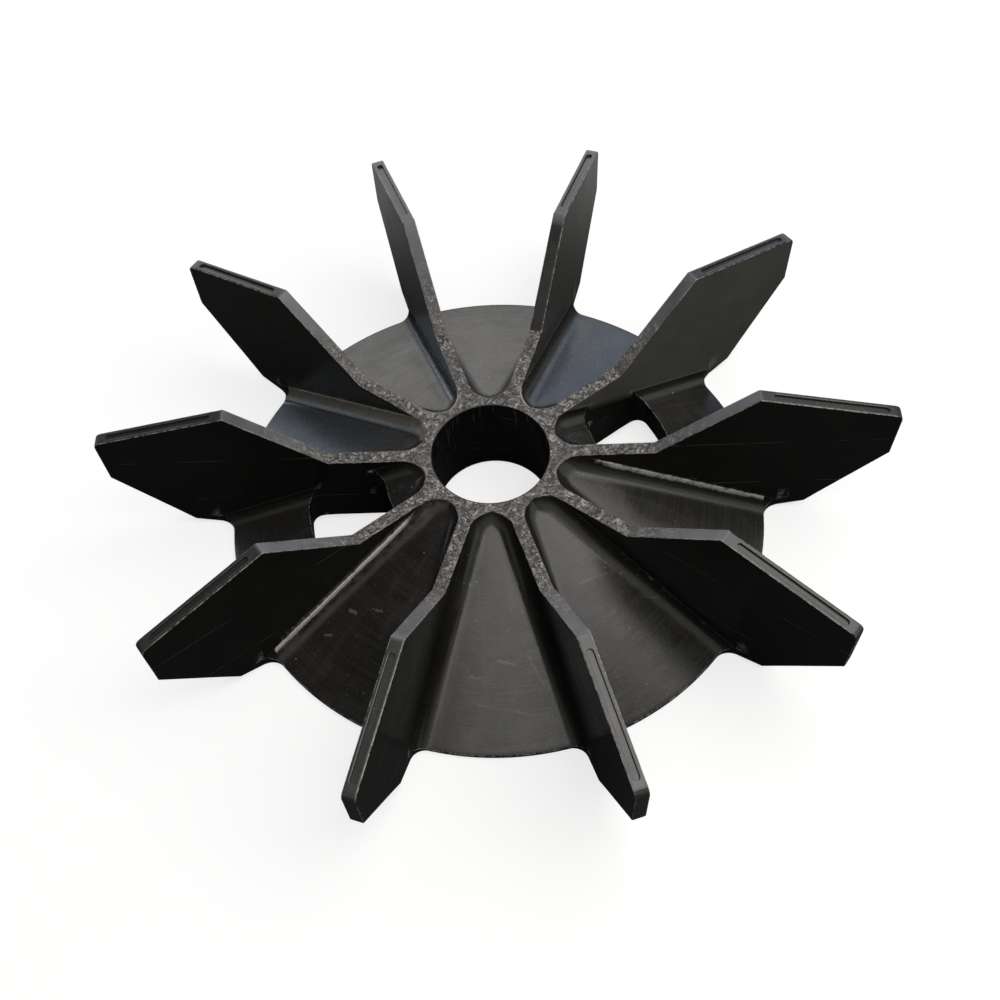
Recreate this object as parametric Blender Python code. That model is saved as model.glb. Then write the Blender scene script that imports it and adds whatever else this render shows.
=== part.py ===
"""Centrifugal impeller for cooling air, moulded in one piece.

A short hub tube carries a conical skirt that flares down to its rim. Ten flat
radial blades stand on the skirt with rounded roots, run on under it as ribs,
and reach out past the rim. A ring rib stiffens the underside. Two opposite
sectors of the skirt are open as windows with rounded corners. +Z up. The spin
axis is Z, the rim rests on Z = 0, and the windows are centred on +X and -X.

The dimensions below are millimetres; the mesh is made in metres. One half of a
sector is built as patches of quads, with x along the blade's middle plane and y
across it. Twenty turned and mirrored copies close into one body.
"""
import math

import bmesh
import bpy

# ---- driving dimensions (millimetres) ----
BLADE_COUNT = 10
BLADE_THICKNESS = 4.8
HUB_TOP = 37.6               # flat star-shaped top face above the rim plane
BORE_RADIUS = 21.0           # 42 mm shaft bore
HUB_WALL_RADIUS = 24.2       # where the hub's land ends and its outer fillet starts
HUB_PLAN_FILLET = 6.6        # plan-view fillet between a blade and the hub
HUB_TUBE_RADIUS = 27.5       # hub tube under the skirt
HUB_BOTTOM = 1.0             # lower end of the hub tube
RIM_RADIUS = 99.4            # outer edge of the skirt
RIM_EDGE = 1.5               # height of the rim's outer edge
SKIRT_SLOPE = 0.4547         # drop of the skirt for each millimetre outward
SKIRT_DEPTH = 4.6            # thickness of the skirt measured straight down
ROOT_FILLET = 5.5            # between the skirt and the blades; also the windows' corners
UNDER_FILLET = 2.0           # the same under the skirt
WINDOW_INNER = 38.9
WINDOW_OUTER = 68.5          # also the ring rib's inner face
RING_OUTER = 72.7
SEAT_INNER = 92.6            # inner edge of the flat ring that the rim rests on
RIB_BOTTOM = 3.1             # lower edge of the blades' ribs and of the ring rib
KNEE = 58.3                  # the blade's top edge leaves the hub level here
PEAK = (92.0, 66.7)          # (distance out, height) of the blade's highest corner
TIP_TOP = (141.0, 54.2)
TIP_LOW = (139.8, 33.2)
HEEL = (113.9, 3.4)          # lower corner, where the edge turns flat
TIP_ROUND = 2.5              # rounding of the upper tip corner
RECESS_INSET = 4.8           # solid length left at each end of the recess in the tip edge
RECESS_HALF_WIDTH = 1.2
RECESS_DEPTH = 0.85

HALF_BLADE = BLADE_THICKNESS / 2.0
HALF_PITCH = math.pi / BLADE_COUNT
ROOT_STEPS = 3               # facets round the root fillet
WEDGE_STEPS = 2              # facets from the fillet to the sector's middle
CORNER_STEPS = 2             # facets round a plan corner
BORE_STEPS = 4               # facets of the bore in half a sector
FLAT = math.radians(0.35)    # neighbouring facets flatter than this become one

ROOT_ANGLES = [math.pi / 2 * k / ROOT_STEPS for k in range(ROOT_STEPS + 1)]
ACROSS = (0.0, RECESS_HALF_WIDTH, HALF_BLADE)      # columns across half a blade
RIB_END = RIM_RADIUS - (RIB_BOTTOM + SKIRT_DEPTH - RIM_EDGE) / SKIRT_SLOPE


# ---- surfaces ----
def skirt_top(r):
    return RIM_EDGE + (RIM_RADIUS - r) * SKIRT_SLOPE


def skirt_under(r):
    return skirt_top(r) - SKIRT_DEPTH


def root_rise(t):
    """Height of the root fillet above the skirt at fillet angle t, 0 at the blade."""
    return ROOT_FILLET * (1.0 - math.sin(t))


def root_offset(t):
    """Distance of the root fillet from the blade's face at fillet angle t."""
    return ROOT_FILLET * (1.0 - math.cos(t))


OFFSETS = [root_offset(t) for t in ROOT_ANGLES]


def smooth(t):
    t = max(0.0, min(1.0, t))
    return t * t * (3.0 - 2.0 * t)


def out_along_face(r):
    """Distance along the blade's face at radius r from the axis."""
    return math.sqrt(r * r - HALF_BLADE * HALF_BLADE)


def polar(r, a):
    return (r * math.cos(a), r * math.sin(a))


def at_y(r, y):
    return (math.sqrt(r * r - y * y), y)


def under_at(r, c):
    """Underside of the skirt at distance c from the blade's face, with its small fillet."""
    size = max(0.0, min(UNDER_FILLET, 0.5 * (skirt_under(r) - RIB_BOTTOM)))
    if c >= size:
        return skirt_under(r)
    return skirt_under(r) - (size - math.sqrt(max(0.0, size * size - (size - c) ** 2)))


def lower_edge(r):
    """Height of the blade's lower edge outside the rim."""
    return RIB_BOTTOM * smooth((r - RIM_RADIUS) / 11.1)


def hub_corner(c):
    """Radius and centre of the plan fillet of the level line at offset c."""
    q = max(HUB_PLAN_FILLET - c, 0.25)
    y = HALF_BLADE + c + q
    return q, math.sqrt((HUB_WALL_RADIUS + c + q) ** 2 - y * y), y


START = hub_corner(0.0)[1]           # the blade's straight face starts here


def level_point(c, place):
    """Plan point of the level line at offset c from the walls. A place is on the blade's
    face, on the plan fillet or on the hub's wall."""
    kind, v = place
    q, xc, yc = hub_corner(c)
    if kind == 'face':
        y = HALF_BLADE + c
        constant_radius = math.sqrt(v * v + HALF_BLADE * HALF_BLADE - y * y)
        w = smooth((v - START) / (38.0 - START))
        return ((1.0 - w) * (v - START + xc) + w * constant_radius, y)
    b = math.atan2(yc, xc)
    if kind == 'fillet':
        a = -math.pi / 2 + (b - math.pi / 2) * v
        return (xc + q * math.cos(a), yc + q * math.sin(a))
    return polar(HUB_WALL_RADIUS + c, b + (HALF_PITCH - b) * v)


def level_height(t, place):
    x, y = level_point(root_offset(t), place)
    return skirt_top(math.hypot(x, y)) + root_rise(t)


def cut_angle(place):
    """Fillet angle at which the fillet passes the hub's top, or 0 where the wall is higher."""
    if level_height(0.0, place) <= HUB_TOP:
        return 0.0
    lo, hi = 0.0, math.pi / 2
    for _ in range(40):
        mid = 0.5 * (lo + hi)
        if level_height(mid, place) > HUB_TOP:
            lo = mid
        else:
            hi = mid
    return 0.5 * (lo + hi)


def lerp(a, b, t):
    return tuple(p + (q - p) * t for p, q in zip(a, b))


def corner_radius(base, sign, c):
    """Radius of a rounded plan corner of a cut at offset c from the blade's face. sign is +1
    where the part lies inside the cut's radius."""
    f = ROOT_FILLET
    return base + sign * (f - math.sqrt(max(0.0, f * f - (f - min(c, f)) ** 2)))


def wedge_angles(r):
    """Angles of the open part of a row, from the root fillet's foot to the sector's middle."""
    first = math.asin((HALF_BLADE + ROOT_FILLET) / r)
    return [first + (HALF_PITCH - first) * m / WEDGE_STEPS for m in range(1, WEDGE_STEPS + 1)]


def plan_row(r):
    """Plan points of a row of constant radius, from the blade's face to the sector's middle."""
    return [at_y(r, HALF_BLADE + c) for c in OFFSETS] + [polar(r, a) for a in wedge_angles(r)]


ROW_OFFSETS = OFFSETS + [ROOT_FILLET] * WEDGE_STEPS


# ---- one half of a sector ----
def blade_profile(rows):
    """Top chain, tip chain and bottom chain of the blade outside the hub's star, matched
    point by point, and the distances of the tip recess along the sloping edge."""
    slope = math.hypot(TIP_TOP[0] - PEAK[0], TIP_TOP[1] - PEAK[1])
    dx, dz = (TIP_TOP[0] - PEAK[0]) / slope, (TIP_TOP[1] - PEAK[1]) / slope
    top = []
    for u in rows:
        if u < KNEE:
            continue
        if u <= PEAK[0]:
            z = HUB_TOP + (u - KNEE) * (PEAK[1] - HUB_TOP) / (PEAK[0] - KNEE)
        else:
            z = PEAK[1] + (u - PEAK[0]) * dz / dx
        top.append((u, z))
    first_tail = len(top)
    down = math.hypot(TIP_LOW[0] - TIP_TOP[0], TIP_LOW[1] - TIP_TOP[1])
    ex, ez = (TIP_LOW[0] - TIP_TOP[0]) / down, (TIP_LOW[1] - TIP_TOP[1]) / down
    half = math.acos(-(dx * ex + dz * ez)) / 2.0
    cut = TIP_ROUND / math.tan(half)
    ends = recess_ends(slope)
    s_now = (rows[-1] - PEAK[0]) / dx
    along = [s_now + (ends[1][0] - s_now) * i / 3 for i in range(1, 4)] + ends[1][1:]
    along += [(ends[1][-1] + slope - cut) / 2.0, slope - cut]
    tail = [(PEAK[0] + dx * s, PEAK[1] + dz * s) for s in along]
    cx = TIP_TOP[0] - dx * cut + dz * TIP_ROUND
    cz = TIP_TOP[1] - dz * cut - dx * TIP_ROUND
    a0 = math.atan2(tail[-1][1] - cz, tail[-1][0] - cx)
    end = (TIP_TOP[0] + ex * cut, TIP_TOP[1] + ez * cut)
    a1 = math.atan2(end[1] - cz, end[0] - cx)
    for i in range(1, 4):
        a = a0 + (a1 - a0) * i / 3
        tail.append((cx + TIP_ROUND * math.cos(a), cz + TIP_ROUND * math.sin(a)))
    path = [(rows[-1], lower_edge(RIM_RADIUS + ROOT_FILLET))]
    path += [(r, lower_edge(r)) for r in (106.8, 108.6, 110.5)]
    path += [HEEL] + [lerp(HEEL, TIP_LOW, i / 6) for i in range(1, 7)]
    length = [0.0]
    for a, b in zip(path, path[1:]):
        length.append(length[-1] + math.hypot(b[0] - a[0], b[1] - a[1]))
    share, before = [0.0], top[-1]
    for p in tail:
        share.append(share[-1] + math.hypot(p[0] - before[0], p[1] - before[1]))
        before = p
    share = [v / share[-1] for v in share]
    heel_at = length[path.index(HEEL)] / length[-1]
    n = len(tail)
    i_heel = min(range(1, n), key=lambda i: abs(share[i] - heel_at))
    bottom = []
    for i in range(n + 1):
        if i <= i_heel:
            f = share[i] / share[i_heel] * heel_at
        else:
            f = heel_at + (share[i] - share[i_heel]) / (1.0 - share[i_heel]) * (1.0 - heel_at)
        d = f * length[-1]
        j = max(k for k in range(len(length) - 1) if length[k] <= d + 1e-9)
        bottom.append(lerp(path[j], path[j + 1], min(1.0, (d - length[j]) / (length[j + 1] - length[j]))))
    places = {i: (u - PEAK[0]) / dx for i, (u, z) in enumerate(top)}
    places.update({first_tail + i: s for i, s in enumerate(along)})
    return top, tail, bottom, places, (-dz, dx), ends


def recess_ends(slope):
    """Distances along the sloping edge of the recess's two round ends."""
    bow = [RECESS_HALF_WIDTH * (1.0 - math.cos(math.radians(a))) for a in (0, 45, 90)]
    far = slope - RECESS_INSET + 0.4
    return [RECESS_INSET + b for b in bow], [far - b for b in bow[::-1]]


def half_sector(window):
    """Patches of one half-sector, each a grid of points whose neighbours join as quads."""
    patches = []
    H = HALF_BLADE
    corner_in = [WINDOW_INNER + ROOT_FILLET * g / CORNER_STEPS for g in range(CORNER_STEPS + 1)]
    corner_out = [WINDOW_OUTER - ROOT_FILLET * g / CORNER_STEPS for g in range(CORNER_STEPS + 1)]
    flare = [RIM_RADIUS + ROOT_FILLET * g / CORNER_STEPS for g in range(CORNER_STEPS + 1)]
    slope = math.hypot(TIP_TOP[0] - PEAK[0], TIP_TOP[1] - PEAK[1])
    dx = (TIP_TOP[0] - PEAK[0]) / slope
    rows = [START, START + 4.0, KNEE, PEAK[0]]
    rows += [PEAK[0] + s * dx for s in recess_ends(slope)[0]]
    rows += [out_along_face(r) for r in corner_in + corner_out + flare + [RING_OUTER, RIB_END, SEAT_INNER]]
    rows.sort()
    rim_u, in_u, out_u = out_along_face(RIM_RADIUS), out_along_face(WINDOW_INNER), out_along_face(WINDOW_OUTER)
    ribs_u = out_along_face(RIB_END)
    on_skirt = [u for u in rows if u <= rim_u + 1e-9]
    radius = {u: math.hypot(u, H) for u in rows}

    # the blade's narrow edge with its recess
    top, tail, bottom, places, normal, ends = blade_profile(rows)
    tip = [tail[-1], bottom[-1]]
    outline = top + tail + [tip[1]] + bottom[::-1][1:]
    edge, recess = [], []
    for i, (x, z) in enumerate(outline):
        s = places.get(i, -1.0)
        inner = RECESS_HALF_WIDTH
        if ends[0][0] - 1e-6 <= s <= ends[1][-1] + 1e-6:
            d = min(s - ends[0][0], ends[1][-1] - s)
            w = RECESS_HALF_WIDTH
            inner = w if d >= w else math.sqrt(max(0.0, w * w - (w - d) ** 2))
            inner = 0.0 if inner < 0.02 else inner
            low = (x - normal[0] * RECESS_DEPTH, z - normal[1] * RECESS_DEPTH)
            recess.append([(x, inner, z), (low[0], inner, low[1]), (low[0], 0.0, low[1])])
            edge.append([(x, H, z), (x, RECESS_HALF_WIDTH, z), (x, inner, z)])
        else:
            edge.append([(x, y, z) for y in ACROSS[::-1]])
    patches += [edge, recess]

    # the hub's star-shaped top, its bore and the lower end of the tube
    def top_edge(place):
        return level_point(root_offset(cut_angle(place)), place) + (HUB_TOP,)

    star_rows = [u for u in rows if u <= KNEE]
    star = []
    for u in star_rows:
        x, y, z = top_edge(('face', u)) if u < KNEE else (u, H, HUB_TOP)
        star.append([(x, y * f / H, z) for f in ACROSS[::-1]])
    patches.append(star)
    hub_places = [('fillet', k / ROOT_STEPS) for k in range(1, ROOT_STEPS + 1)]
    hub_places += [('wall', m / WEDGE_STEPS) for m in range(1, WEDGE_STEPS + 1)]
    rim_of_star = star[0][::-1] + [top_edge(p) for p in hub_places]
    last = len(rim_of_star) - 1
    turn = [HALF_PITCH * round(BORE_STEPS * q / last) / BORE_STEPS for q in range(last + 1)]
    bore_top = [polar(BORE_RADIUS, a) + (HUB_TOP,) for a in turn]
    bore_low = [polar(BORE_RADIUS, a) + (HUB_BOTTOM,) for a in turn]
    tube = [at_y(HUB_TUBE_RADIUS, y) for y in ACROSS[:-1]] + plan_row(HUB_TUBE_RADIUS)
    tube_low = [p + (HUB_BOTTOM,) for p in tube]
    patches += [[rim_of_star, bore_top, bore_low, tube_low, [p + (RIB_BOTTOM,) for p in tube]]]
    patches.append([[p + (RIB_BOTTOM,), p + (under_at(HUB_TUBE_RADIUS, c),)]
                    for p, c in zip(tube[len(ACROSS) - 1:], ROW_OFFSETS)])

    # the blade's flat face: above the root fillet, below the skirt, and outside the rim
    def fillet_top(u):
        return skirt_top(radius[u]) + ROOT_FILLET

    face = []
    for u in rows:
        head = star[star_rows.index(u)][0] if u < KNEE else (u, H, top[[p[0] for p in top].index(u)][1])
        face.append([head, head if head[2] <= fillet_top(u) + 1e-6 else (u, H, fillet_top(u))])
    patches.append(face)
    if window:
        through = [u for u in rows if out_along_face(corner_in[-1]) - 1e-9 <= u <= out_along_face(corner_out[-1]) + 1e-9]
        patches.append([[(u, H, fillet_top(u)), (u, H, under_at(radius[u], 0.0)), (u, H, RIB_BOTTOM)] for u in through])
    outer = []
    for i in range(len(tail) + 1):
        x, z = (top[-1] if i == 0 else tail[i - 1])
        fx, fz = bottom[i]
        if i == 0:
            outer.append([(x, H, z), (x, H, fillet_top(rows[-1])), (fx, H, fz)])
        elif i == len(tail):
            outer.append([(x, H, z), (fx, H, fz), (fx, H, fz)])
        else:
            outer.append([(x, H, z), lerp((x, H, z), (fx, H, fz), (z - fz - 3.6) / (z - fz)), (fx, H, fz)])
    patches.append(outer)

    # the skirt's top with the root fillets
    def levels(place, cut=True):
        start = cut_angle(place) if cut else 0.0
        out = []
        for t in ROOT_ANGLES:
            a = start + (math.pi / 2 - start) * t / (math.pi / 2)
            x, y = level_point(root_offset(a), place)
            out.append((x, y, skirt_top(math.hypot(x, y)) + root_rise(a)))
        return out

    def wedge(point):
        r, a = math.hypot(point[0], point[1]), math.atan2(point[1], point[0])
        return [point] + [polar(r, a + (HALF_PITCH - a) * m / WEDGE_STEPS) + (skirt_top(r),)
                          for m in range(1, WEDGE_STEPS + 1)]

    root = {u: levels(('face', u), u < KNEE) for u in on_skirt}
    runs = [on_skirt]
    if window:
        runs = [[u for u in on_skirt if u <= in_u + 1e-9], [u for u in on_skirt if u >= out_u - 1e-9]]
    for run in runs:
        patches.append([root[u] for u in run])
        patches.append([wedge(root[u][-1]) for u in run])
    hub_root = [levels(p) for p in hub_places]
    patches.append([root[START]] + hub_root)
    corner = [wedge(root[START][-1])] + [wedge(hub_root[k][-1]) for k in range(ROOT_STEPS)]
    corner[-1] = [hub_root[ROOT_STEPS - 1][-1]] + [hub_root[ROOT_STEPS + m][-1] for m in range(WEDGE_STEPS)]
    patches.append(corner)

    # cut edges: the rim, and in a window sector its inner and outer walls
    def cut_edge(base, sign, low):
        above, below, wall = [], [], []
        for c, t in zip(OFFSETS, ROOT_ANGLES):
            r_end = corner_radius(base, sign, c)
            line = [base + (r_end - base) * g / CORNER_STEPS for g in range(CORNER_STEPS + 1)]
            above.append([at_y(r, H + c) + (skirt_top(r) + root_rise(t),) for r in line])
            below.append([at_y(r, H + c) + (low(r, c),) for r in line])
            wall.append([above[-1][-1], at_y(r_end, H + c) + (middle(r_end, c),), below[-1][-1]])
        for a in wedge_angles(base):
            p = polar(base, a)
            wall.append([p + (skirt_top(base),), p + (middle(base, ROOT_FILLET),), p + (low(base, ROOT_FILLET),)])
        patches.extend([above, below, wall])

    middle = lambda r, c: lower_edge(r)
    cut_edge(RIM_RADIUS, 1, lambda r, c: lower_edge(r))
    if window:
        middle = under_at
        cut_edge(WINDOW_INNER, 1, under_at)
        cut_edge(WINDOW_OUTER, -1, lambda r, c: RIB_BOTTOM)

    # the underside: ribs, skirt, ring rib and the rim's seat
    def rib_row(r):
        return [at_y(r, y) + (RIB_BOTTOM,) for y in ACROSS]

    def under_row(r):
        return [p + (under_at(r, c),) for p, c in zip(plan_row(r), ROW_OFFSETS)]

    def flat_row(r, z):
        return [at_y(r, y) + (z,) for y in ACROSS[:-1]] + [p + (z,) for p in plan_row(r)]

    inner_radii = [HUB_TUBE_RADIUS] + [radius[u] for u in rows if in_u - 1e-9 <= u < out_u - 1e-6] + [WINDOW_OUTER]
    outer_radii = [RING_OUTER] + [radius[u] for u in rows if RING_OUTER + 1e-6 < radius[u] and u <= ribs_u + 1e-9]
    patches.append([rib_row(r) for r in inner_radii])
    patches.append([rib_row(r) for r in outer_radii])
    reach = corner_in[-1] if window else WINDOW_OUTER
    for radii in ([r for r in inner_radii if r <= reach + 1e-6], outer_radii):
        patches.append([[at_y(r, H) + (RIB_BOTTOM,), at_y(r, H) + (under_at(r, 0.0),)] for r in radii])
    reach = WINDOW_INNER if window else WINDOW_OUTER
    patches.append([under_row(r) for r in inner_radii if r <= reach + 1e-6])
    patches.append([under_row(r) for r in outer_radii])
    patches.append([flat_row(WINDOW_OUTER, RIB_BOTTOM), flat_row(RING_OUTER, RIB_BOTTOM)])
    for r in ((RING_OUTER,) if window else (WINDOW_OUTER, RING_OUTER)):
        patches.append([[p + (RIB_BOTTOM,), p + (under_at(r, c),)] for p, c in zip(plan_row(r), ROW_OFFSETS)])
    seat = [radius[u] for u in rows if ribs_u - 1e-9 <= u <= rim_u + 1e-9]
    patches.append([flat_row(r, RIB_BOTTOM if r == seat[0] else (skirt_under(r) if r < SEAT_INNER - 1e-6 else 0.0))
                    for r in seat])
    patches.append([[(rows[-1] if r == flare[-1] else at_y(r, y)[0], y, lower_edge(r)) for y in ACROSS] for r in flare])
    return patches


# ---- the whole body ----
def build_impeller():
    halves = {False: half_sector(False), True: half_sector(True)}
    bm = bmesh.new()
    for b in range(BLADE_COUNT):
        a = HALF_PITCH * (2 * b - 1)                # blades stand half a pitch off the windows
        ca, sa = math.cos(a), math.sin(a)
        for side in (1, -1):
            sector = (b if side == 1 else b - 1) % BLADE_COUNT
            for patch in halves[sector in (0, BLADE_COUNT // 2)]:
                grid = [[bm.verts.new(((ca * x - sa * side * y) * 0.001,
                                       (sa * x + ca * side * y) * 0.001, z * 0.001)) for x, y, z in row]
                        for row in patch]
                for one, two in zip(grid, grid[1:]):
                    for k in range(len(one) - 1):
                        bm.faces.new((one[k], one[k + 1], two[k + 1], two[k]))
    bmesh.ops.remove_doubles(bm, verts=bm.verts, dist=2e-6)
    bmesh.ops.dissolve_degenerate(bm, edges=bm.edges, dist=1e-6)
    bmesh.ops.dissolve_limit(bm, angle_limit=FLAT, verts=bm.verts, edges=bm.edges, use_dissolve_boundaries=False)
    bmesh.ops.triangulate(bm, faces=bm.faces)
    bmesh.ops.recalc_face_normals(bm, faces=bm.faces)
    mesh = bpy.data.meshes.new('impeller')
    bm.to_mesh(mesh)
    bm.free()
    impeller = bpy.data.objects.new('impeller', mesh)
    bpy.context.collection.objects.link(impeller)
    return impeller


def main():
    for ob in list(bpy.data.objects):
        bpy.data.objects.remove(ob, do_unlink=True)
    for me in list(bpy.data.meshes):
        bpy.data.meshes.remove(me)
    impeller = build_impeller()
    plastic = bpy.data.materials.new('black_moulded_plastic')
    plastic.use_nodes = True
    shader = plastic.node_tree.nodes['Principled BSDF']
    shader.inputs['Base Color'].default_value = (0.030, 0.029, 0.028, 1.0)
    shader.inputs['Roughness'].default_value = 0.40
    shader.inputs['Metallic'].default_value = 0.0
    impeller.data.materials.append(plastic)


main()
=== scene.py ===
"""Looks of the radial cooling impeller: one detailed moulding in black plastic, a pale
floor, soft studio light and the photograph's camera."""
import math

import bmesh
import bpy
import numpy as np
from mathutils import Matrix, Vector


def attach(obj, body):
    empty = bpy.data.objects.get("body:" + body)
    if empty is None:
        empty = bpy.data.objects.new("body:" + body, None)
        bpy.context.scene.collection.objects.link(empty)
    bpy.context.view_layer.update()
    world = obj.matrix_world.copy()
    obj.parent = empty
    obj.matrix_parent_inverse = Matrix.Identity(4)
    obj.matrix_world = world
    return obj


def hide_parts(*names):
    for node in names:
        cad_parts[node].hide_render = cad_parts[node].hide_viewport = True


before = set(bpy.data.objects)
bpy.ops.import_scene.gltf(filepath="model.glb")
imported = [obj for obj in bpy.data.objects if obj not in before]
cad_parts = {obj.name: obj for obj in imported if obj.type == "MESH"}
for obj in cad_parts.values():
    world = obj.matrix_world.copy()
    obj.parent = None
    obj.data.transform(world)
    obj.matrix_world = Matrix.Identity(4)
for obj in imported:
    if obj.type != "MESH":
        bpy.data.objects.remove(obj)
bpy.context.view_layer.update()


# ---------------------------------------------------------------- shape
# All lengths in this section are millimetres. One half-sector is built in the frame of its
# blade: x runs along the blade's middle plane, y across it, and the sector's centre line
# lies 18 degrees round. Twenty mirrored and turned copies make the whole moulding.
H = 2.4                       # half the blade's thickness
E = 0.40                      # worn rounding of the free edges
HUB_Z = 37.6
BORE = 21.0
HUB_R = 23.2                  # where the walls of two neighbouring blades meet at the hub
HUB_FILLET_PLAN = 10.0        # plan radius of the pointed arch that they make there
TUBE = 27.5
TUBE_Z = 1.0
RIM = 99.4
RIM_Z = 1.5
SLOPE = 0.4547
SKIN = 4.6
ROOT = 5.5                    # root fillet radius
UNDER = 2.0                   # fillet under the skirt
WIN_IN = 38.9
WIN_OUT = 68.5
RING = 72.7
SEAT = 92.6
RIB_Z = 3.1
WEB = 4.65                    # plan radius of the window's corners and of the rim's flare
KNEE = 58.3
PEAK = (92.0, 66.7)
TIP_TOP = (141.0, 54.2)
TIP_LOW = (139.8, 33.2)
HEEL = (113.9, 3.4)
HALF = math.radians(18.0)
FADE = RIM - (RIB_Z + SKIN - RIM_Z) / SLOPE      # where the ribs run out into the skirt
SLOT_IN, SLOT_HALF, SLOT_DEEP = 4.8, 1.2, 0.85
ROW_Y = (0.0, 0.6, 1.2, 1.65)          # columns across half a blade, before its edge
YF = (0.0, 0.2, 0.4, 0.7, 1.0)          # columns across half a blade's edge
N_F, N_W, N_R, N_B, N_M, N_A = 4, 3, 2, 12, 6, 5
TH = [math.radians(a) for a in (0, 2.2, 12, 22, 33, 44, 55, 66, 75)] + [math.acos(1 - WEB / ROOT), math.pi / 2]
LEDGE = ((0.0, 0.0), (2.2, 0.24), (12.0, 0.22), (22.0, 0.08), (33.0, 0.0), (90.0, 0.0))   # degrees, mm
# Paler colour and a rougher finish on some blade faces: painted sheen, standing in for the reflections of lit floor on
# them. Faces not listed get none.
FACE_PAINTED_SHEEN = {(1, -1): 1.0, (2, -1): 0.45, (3, 1): 0.9, (9, 1): 0.3, (4, 1): 0.15}
# Brownish smear over the root fillet of a few blade sides: partly rub marks, partly painted highlight.
ROOT_RUB_AND_HIGHLIGHT = {(4, 1): 1.0, (6, 1): 0.55, (3, 1): 0.25}
# Painted highlight: pale arcs where the star's edge meets the hub fillet, set per blade side.
HUB_ARC_HIGHLIGHT = {(3, 1): 1.0, (4, -1): 1.0, (1, 1): 0.8, (2, -1): 0.8, (4, 1): 0.6, (5, -1): 0.6, (3, -1): 0.35}
# How strongly each blade's inner sloping top is painted paler: painted light, after how the lamps fall on each slope;
# unlisted blades take 0.75.
SLOPE_PAINTED_LIGHT = {2: 0.10, 8: 1.0, 9: 0.85, 7: 0.85}
LEDGE_STEP = {(6, 1): 0.55, (4, 1): 0.25, (0, -1): 0.18}       # extra width of the ledge, mm
# Strength of the pale strip along each root ledge: partly rubbed wear, partly painted highlight.
LEDGE_WEAR_AND_HIGHLIGHT = {(6, 1): 1.0, (0, -1): 0.9, (4, 1): 0.6, (9, -1): 0.5, (8, -1): 0.4, (7, 1): 0.35, (3, 1): 0.5, (2, 1): 0.4}
K = len(TH) - 1
KW = K - 1                              # the level whose offset equals WEB


def cone(r):
    return RIM_Z + (RIM - r) * SLOPE


def under(r):
    return cone(r) - SKIN


def rise(t):
    return ROOT * (1 - math.sin(t))


def ledge(t):
    """Width of the small rough ledge that runs along the top of every root fillet."""
    d = math.degrees(t)
    for (d0, w0), (d1, w1) in zip(LEDGE, LEDGE[1:]):
        if d <= d1:
            return w0 + (w1 - w0) * (d - d0) / (d1 - d0)
    return 0.0


def off(t):
    return ROOT * (1 - math.cos(t)) + ledge(t)


C = [off(t) for t in TH]


def smooth(t):
    t = max(0.0, min(1.0, t))
    return t * t * (3 - 2 * t)


def u_of(r):
    return math.sqrt(r * r - H * H)


def polar(r, a):
    return (r * math.cos(a), r * math.sin(a))


def at_y(r, y):
    return (math.sqrt(r * r - y * y), y)


def under_fillet(r):
    return max(0.0, min(UNDER, 0.5 * (under(r) - RIB_Z)))


def under_at(r, c):
    ru = under_fillet(r)
    if c >= ru:
        return under(r)
    return under(r) - (ru - math.sqrt(max(0.0, ru * ru - (ru - c) ** 2)))


def lower_edge(r):
    """Height of the blade's lower edge outside the rim."""
    return RIB_Z * smooth((r - RIM) / 11.1)


def q_of(c):
    return max(HUB_FILLET_PLAN - c, 0.25)


MID = (math.cos(HALF), math.sin(HALF))           # direction of the sector's centre line
YC = H + HUB_FILLET_PLAN
XC = HUB_R * MID[0] + math.sqrt(HUB_FILLET_PLAN ** 2 - (YC - HUB_R * MID[1]) ** 2)
BEYOND = YC * MID[0] - XC * MID[1]               # how far the arch's centre lies past that line
X0 = XC


def plan(c, idx):
    """Point of the level curve at offset c from the walls, and the direction into the wall."""
    kind, v = idx
    if kind == 'A':
        y = H + c
        r = math.hypot(v, H)
        xr = math.sqrt(r * r - y * y)
        w = smooth((v - X0) / (38.0 - X0))
        return ((1 - w) * v + w * xr, y), (0.0, -1.0)
    q = q_of(c)
    reach = XC * MID[0] + YC * MID[1] - math.sqrt(q * q - BEYOND * BEYOND)
    end = (reach * MID[0], reach * MID[1])
    if kind == 'C' or v == N_B:
        k = 1.0 / math.sqrt(1.0 - (BEYOND / q) ** 2)
        return end, (-MID[0] * k, -MID[1] * k)
    last = math.atan2(end[1] - YC, end[0] - XC)
    a = -math.pi / 2 + (last + math.pi / 2) * v / N_B
    d = (math.cos(a), math.sin(a))
    return (XC + q * d[0], YC + q * d[1]), d


def off_at(t, idx):
    """Offset from the walls at a place; the ledge fades out where the blade meets the hub."""
    share = smooth((idx[1] - X0) / 8.0) if idx[0] == 'A' else 0.0
    return off(t) - ledge(t) * (1.0 - share)


def level_z(t, idx):
    (x, y), _ = plan(off_at(t, idx), idx)
    return cone(math.hypot(x, y)) + rise(t)


def theta_at(z, idx):
    """Fillet angle at which the surface passes height z, or 0 if the wall is higher."""
    if level_z(0.0, idx) <= z:
        return 0.0
    lo, hi = 0.0, math.pi / 2
    for _ in range(40):
        mid = 0.5 * (lo + hi)
        if level_z(mid, idx) > z:
            lo = mid
        else:
            hi = mid
    return 0.5 * (lo + hi)


def top_z(u):
    if u <= KNEE:
        return HUB_Z
    if u <= PEAK[0]:
        return HUB_Z + (u - KNEE) * (PEAK[1] - HUB_Z) / (PEAK[0] - KNEE)
    return PEAK[1] + (u - PEAK[0]) * (TIP_TOP[1] - PEAK[1]) / (TIP_TOP[0] - PEAK[0])


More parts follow.
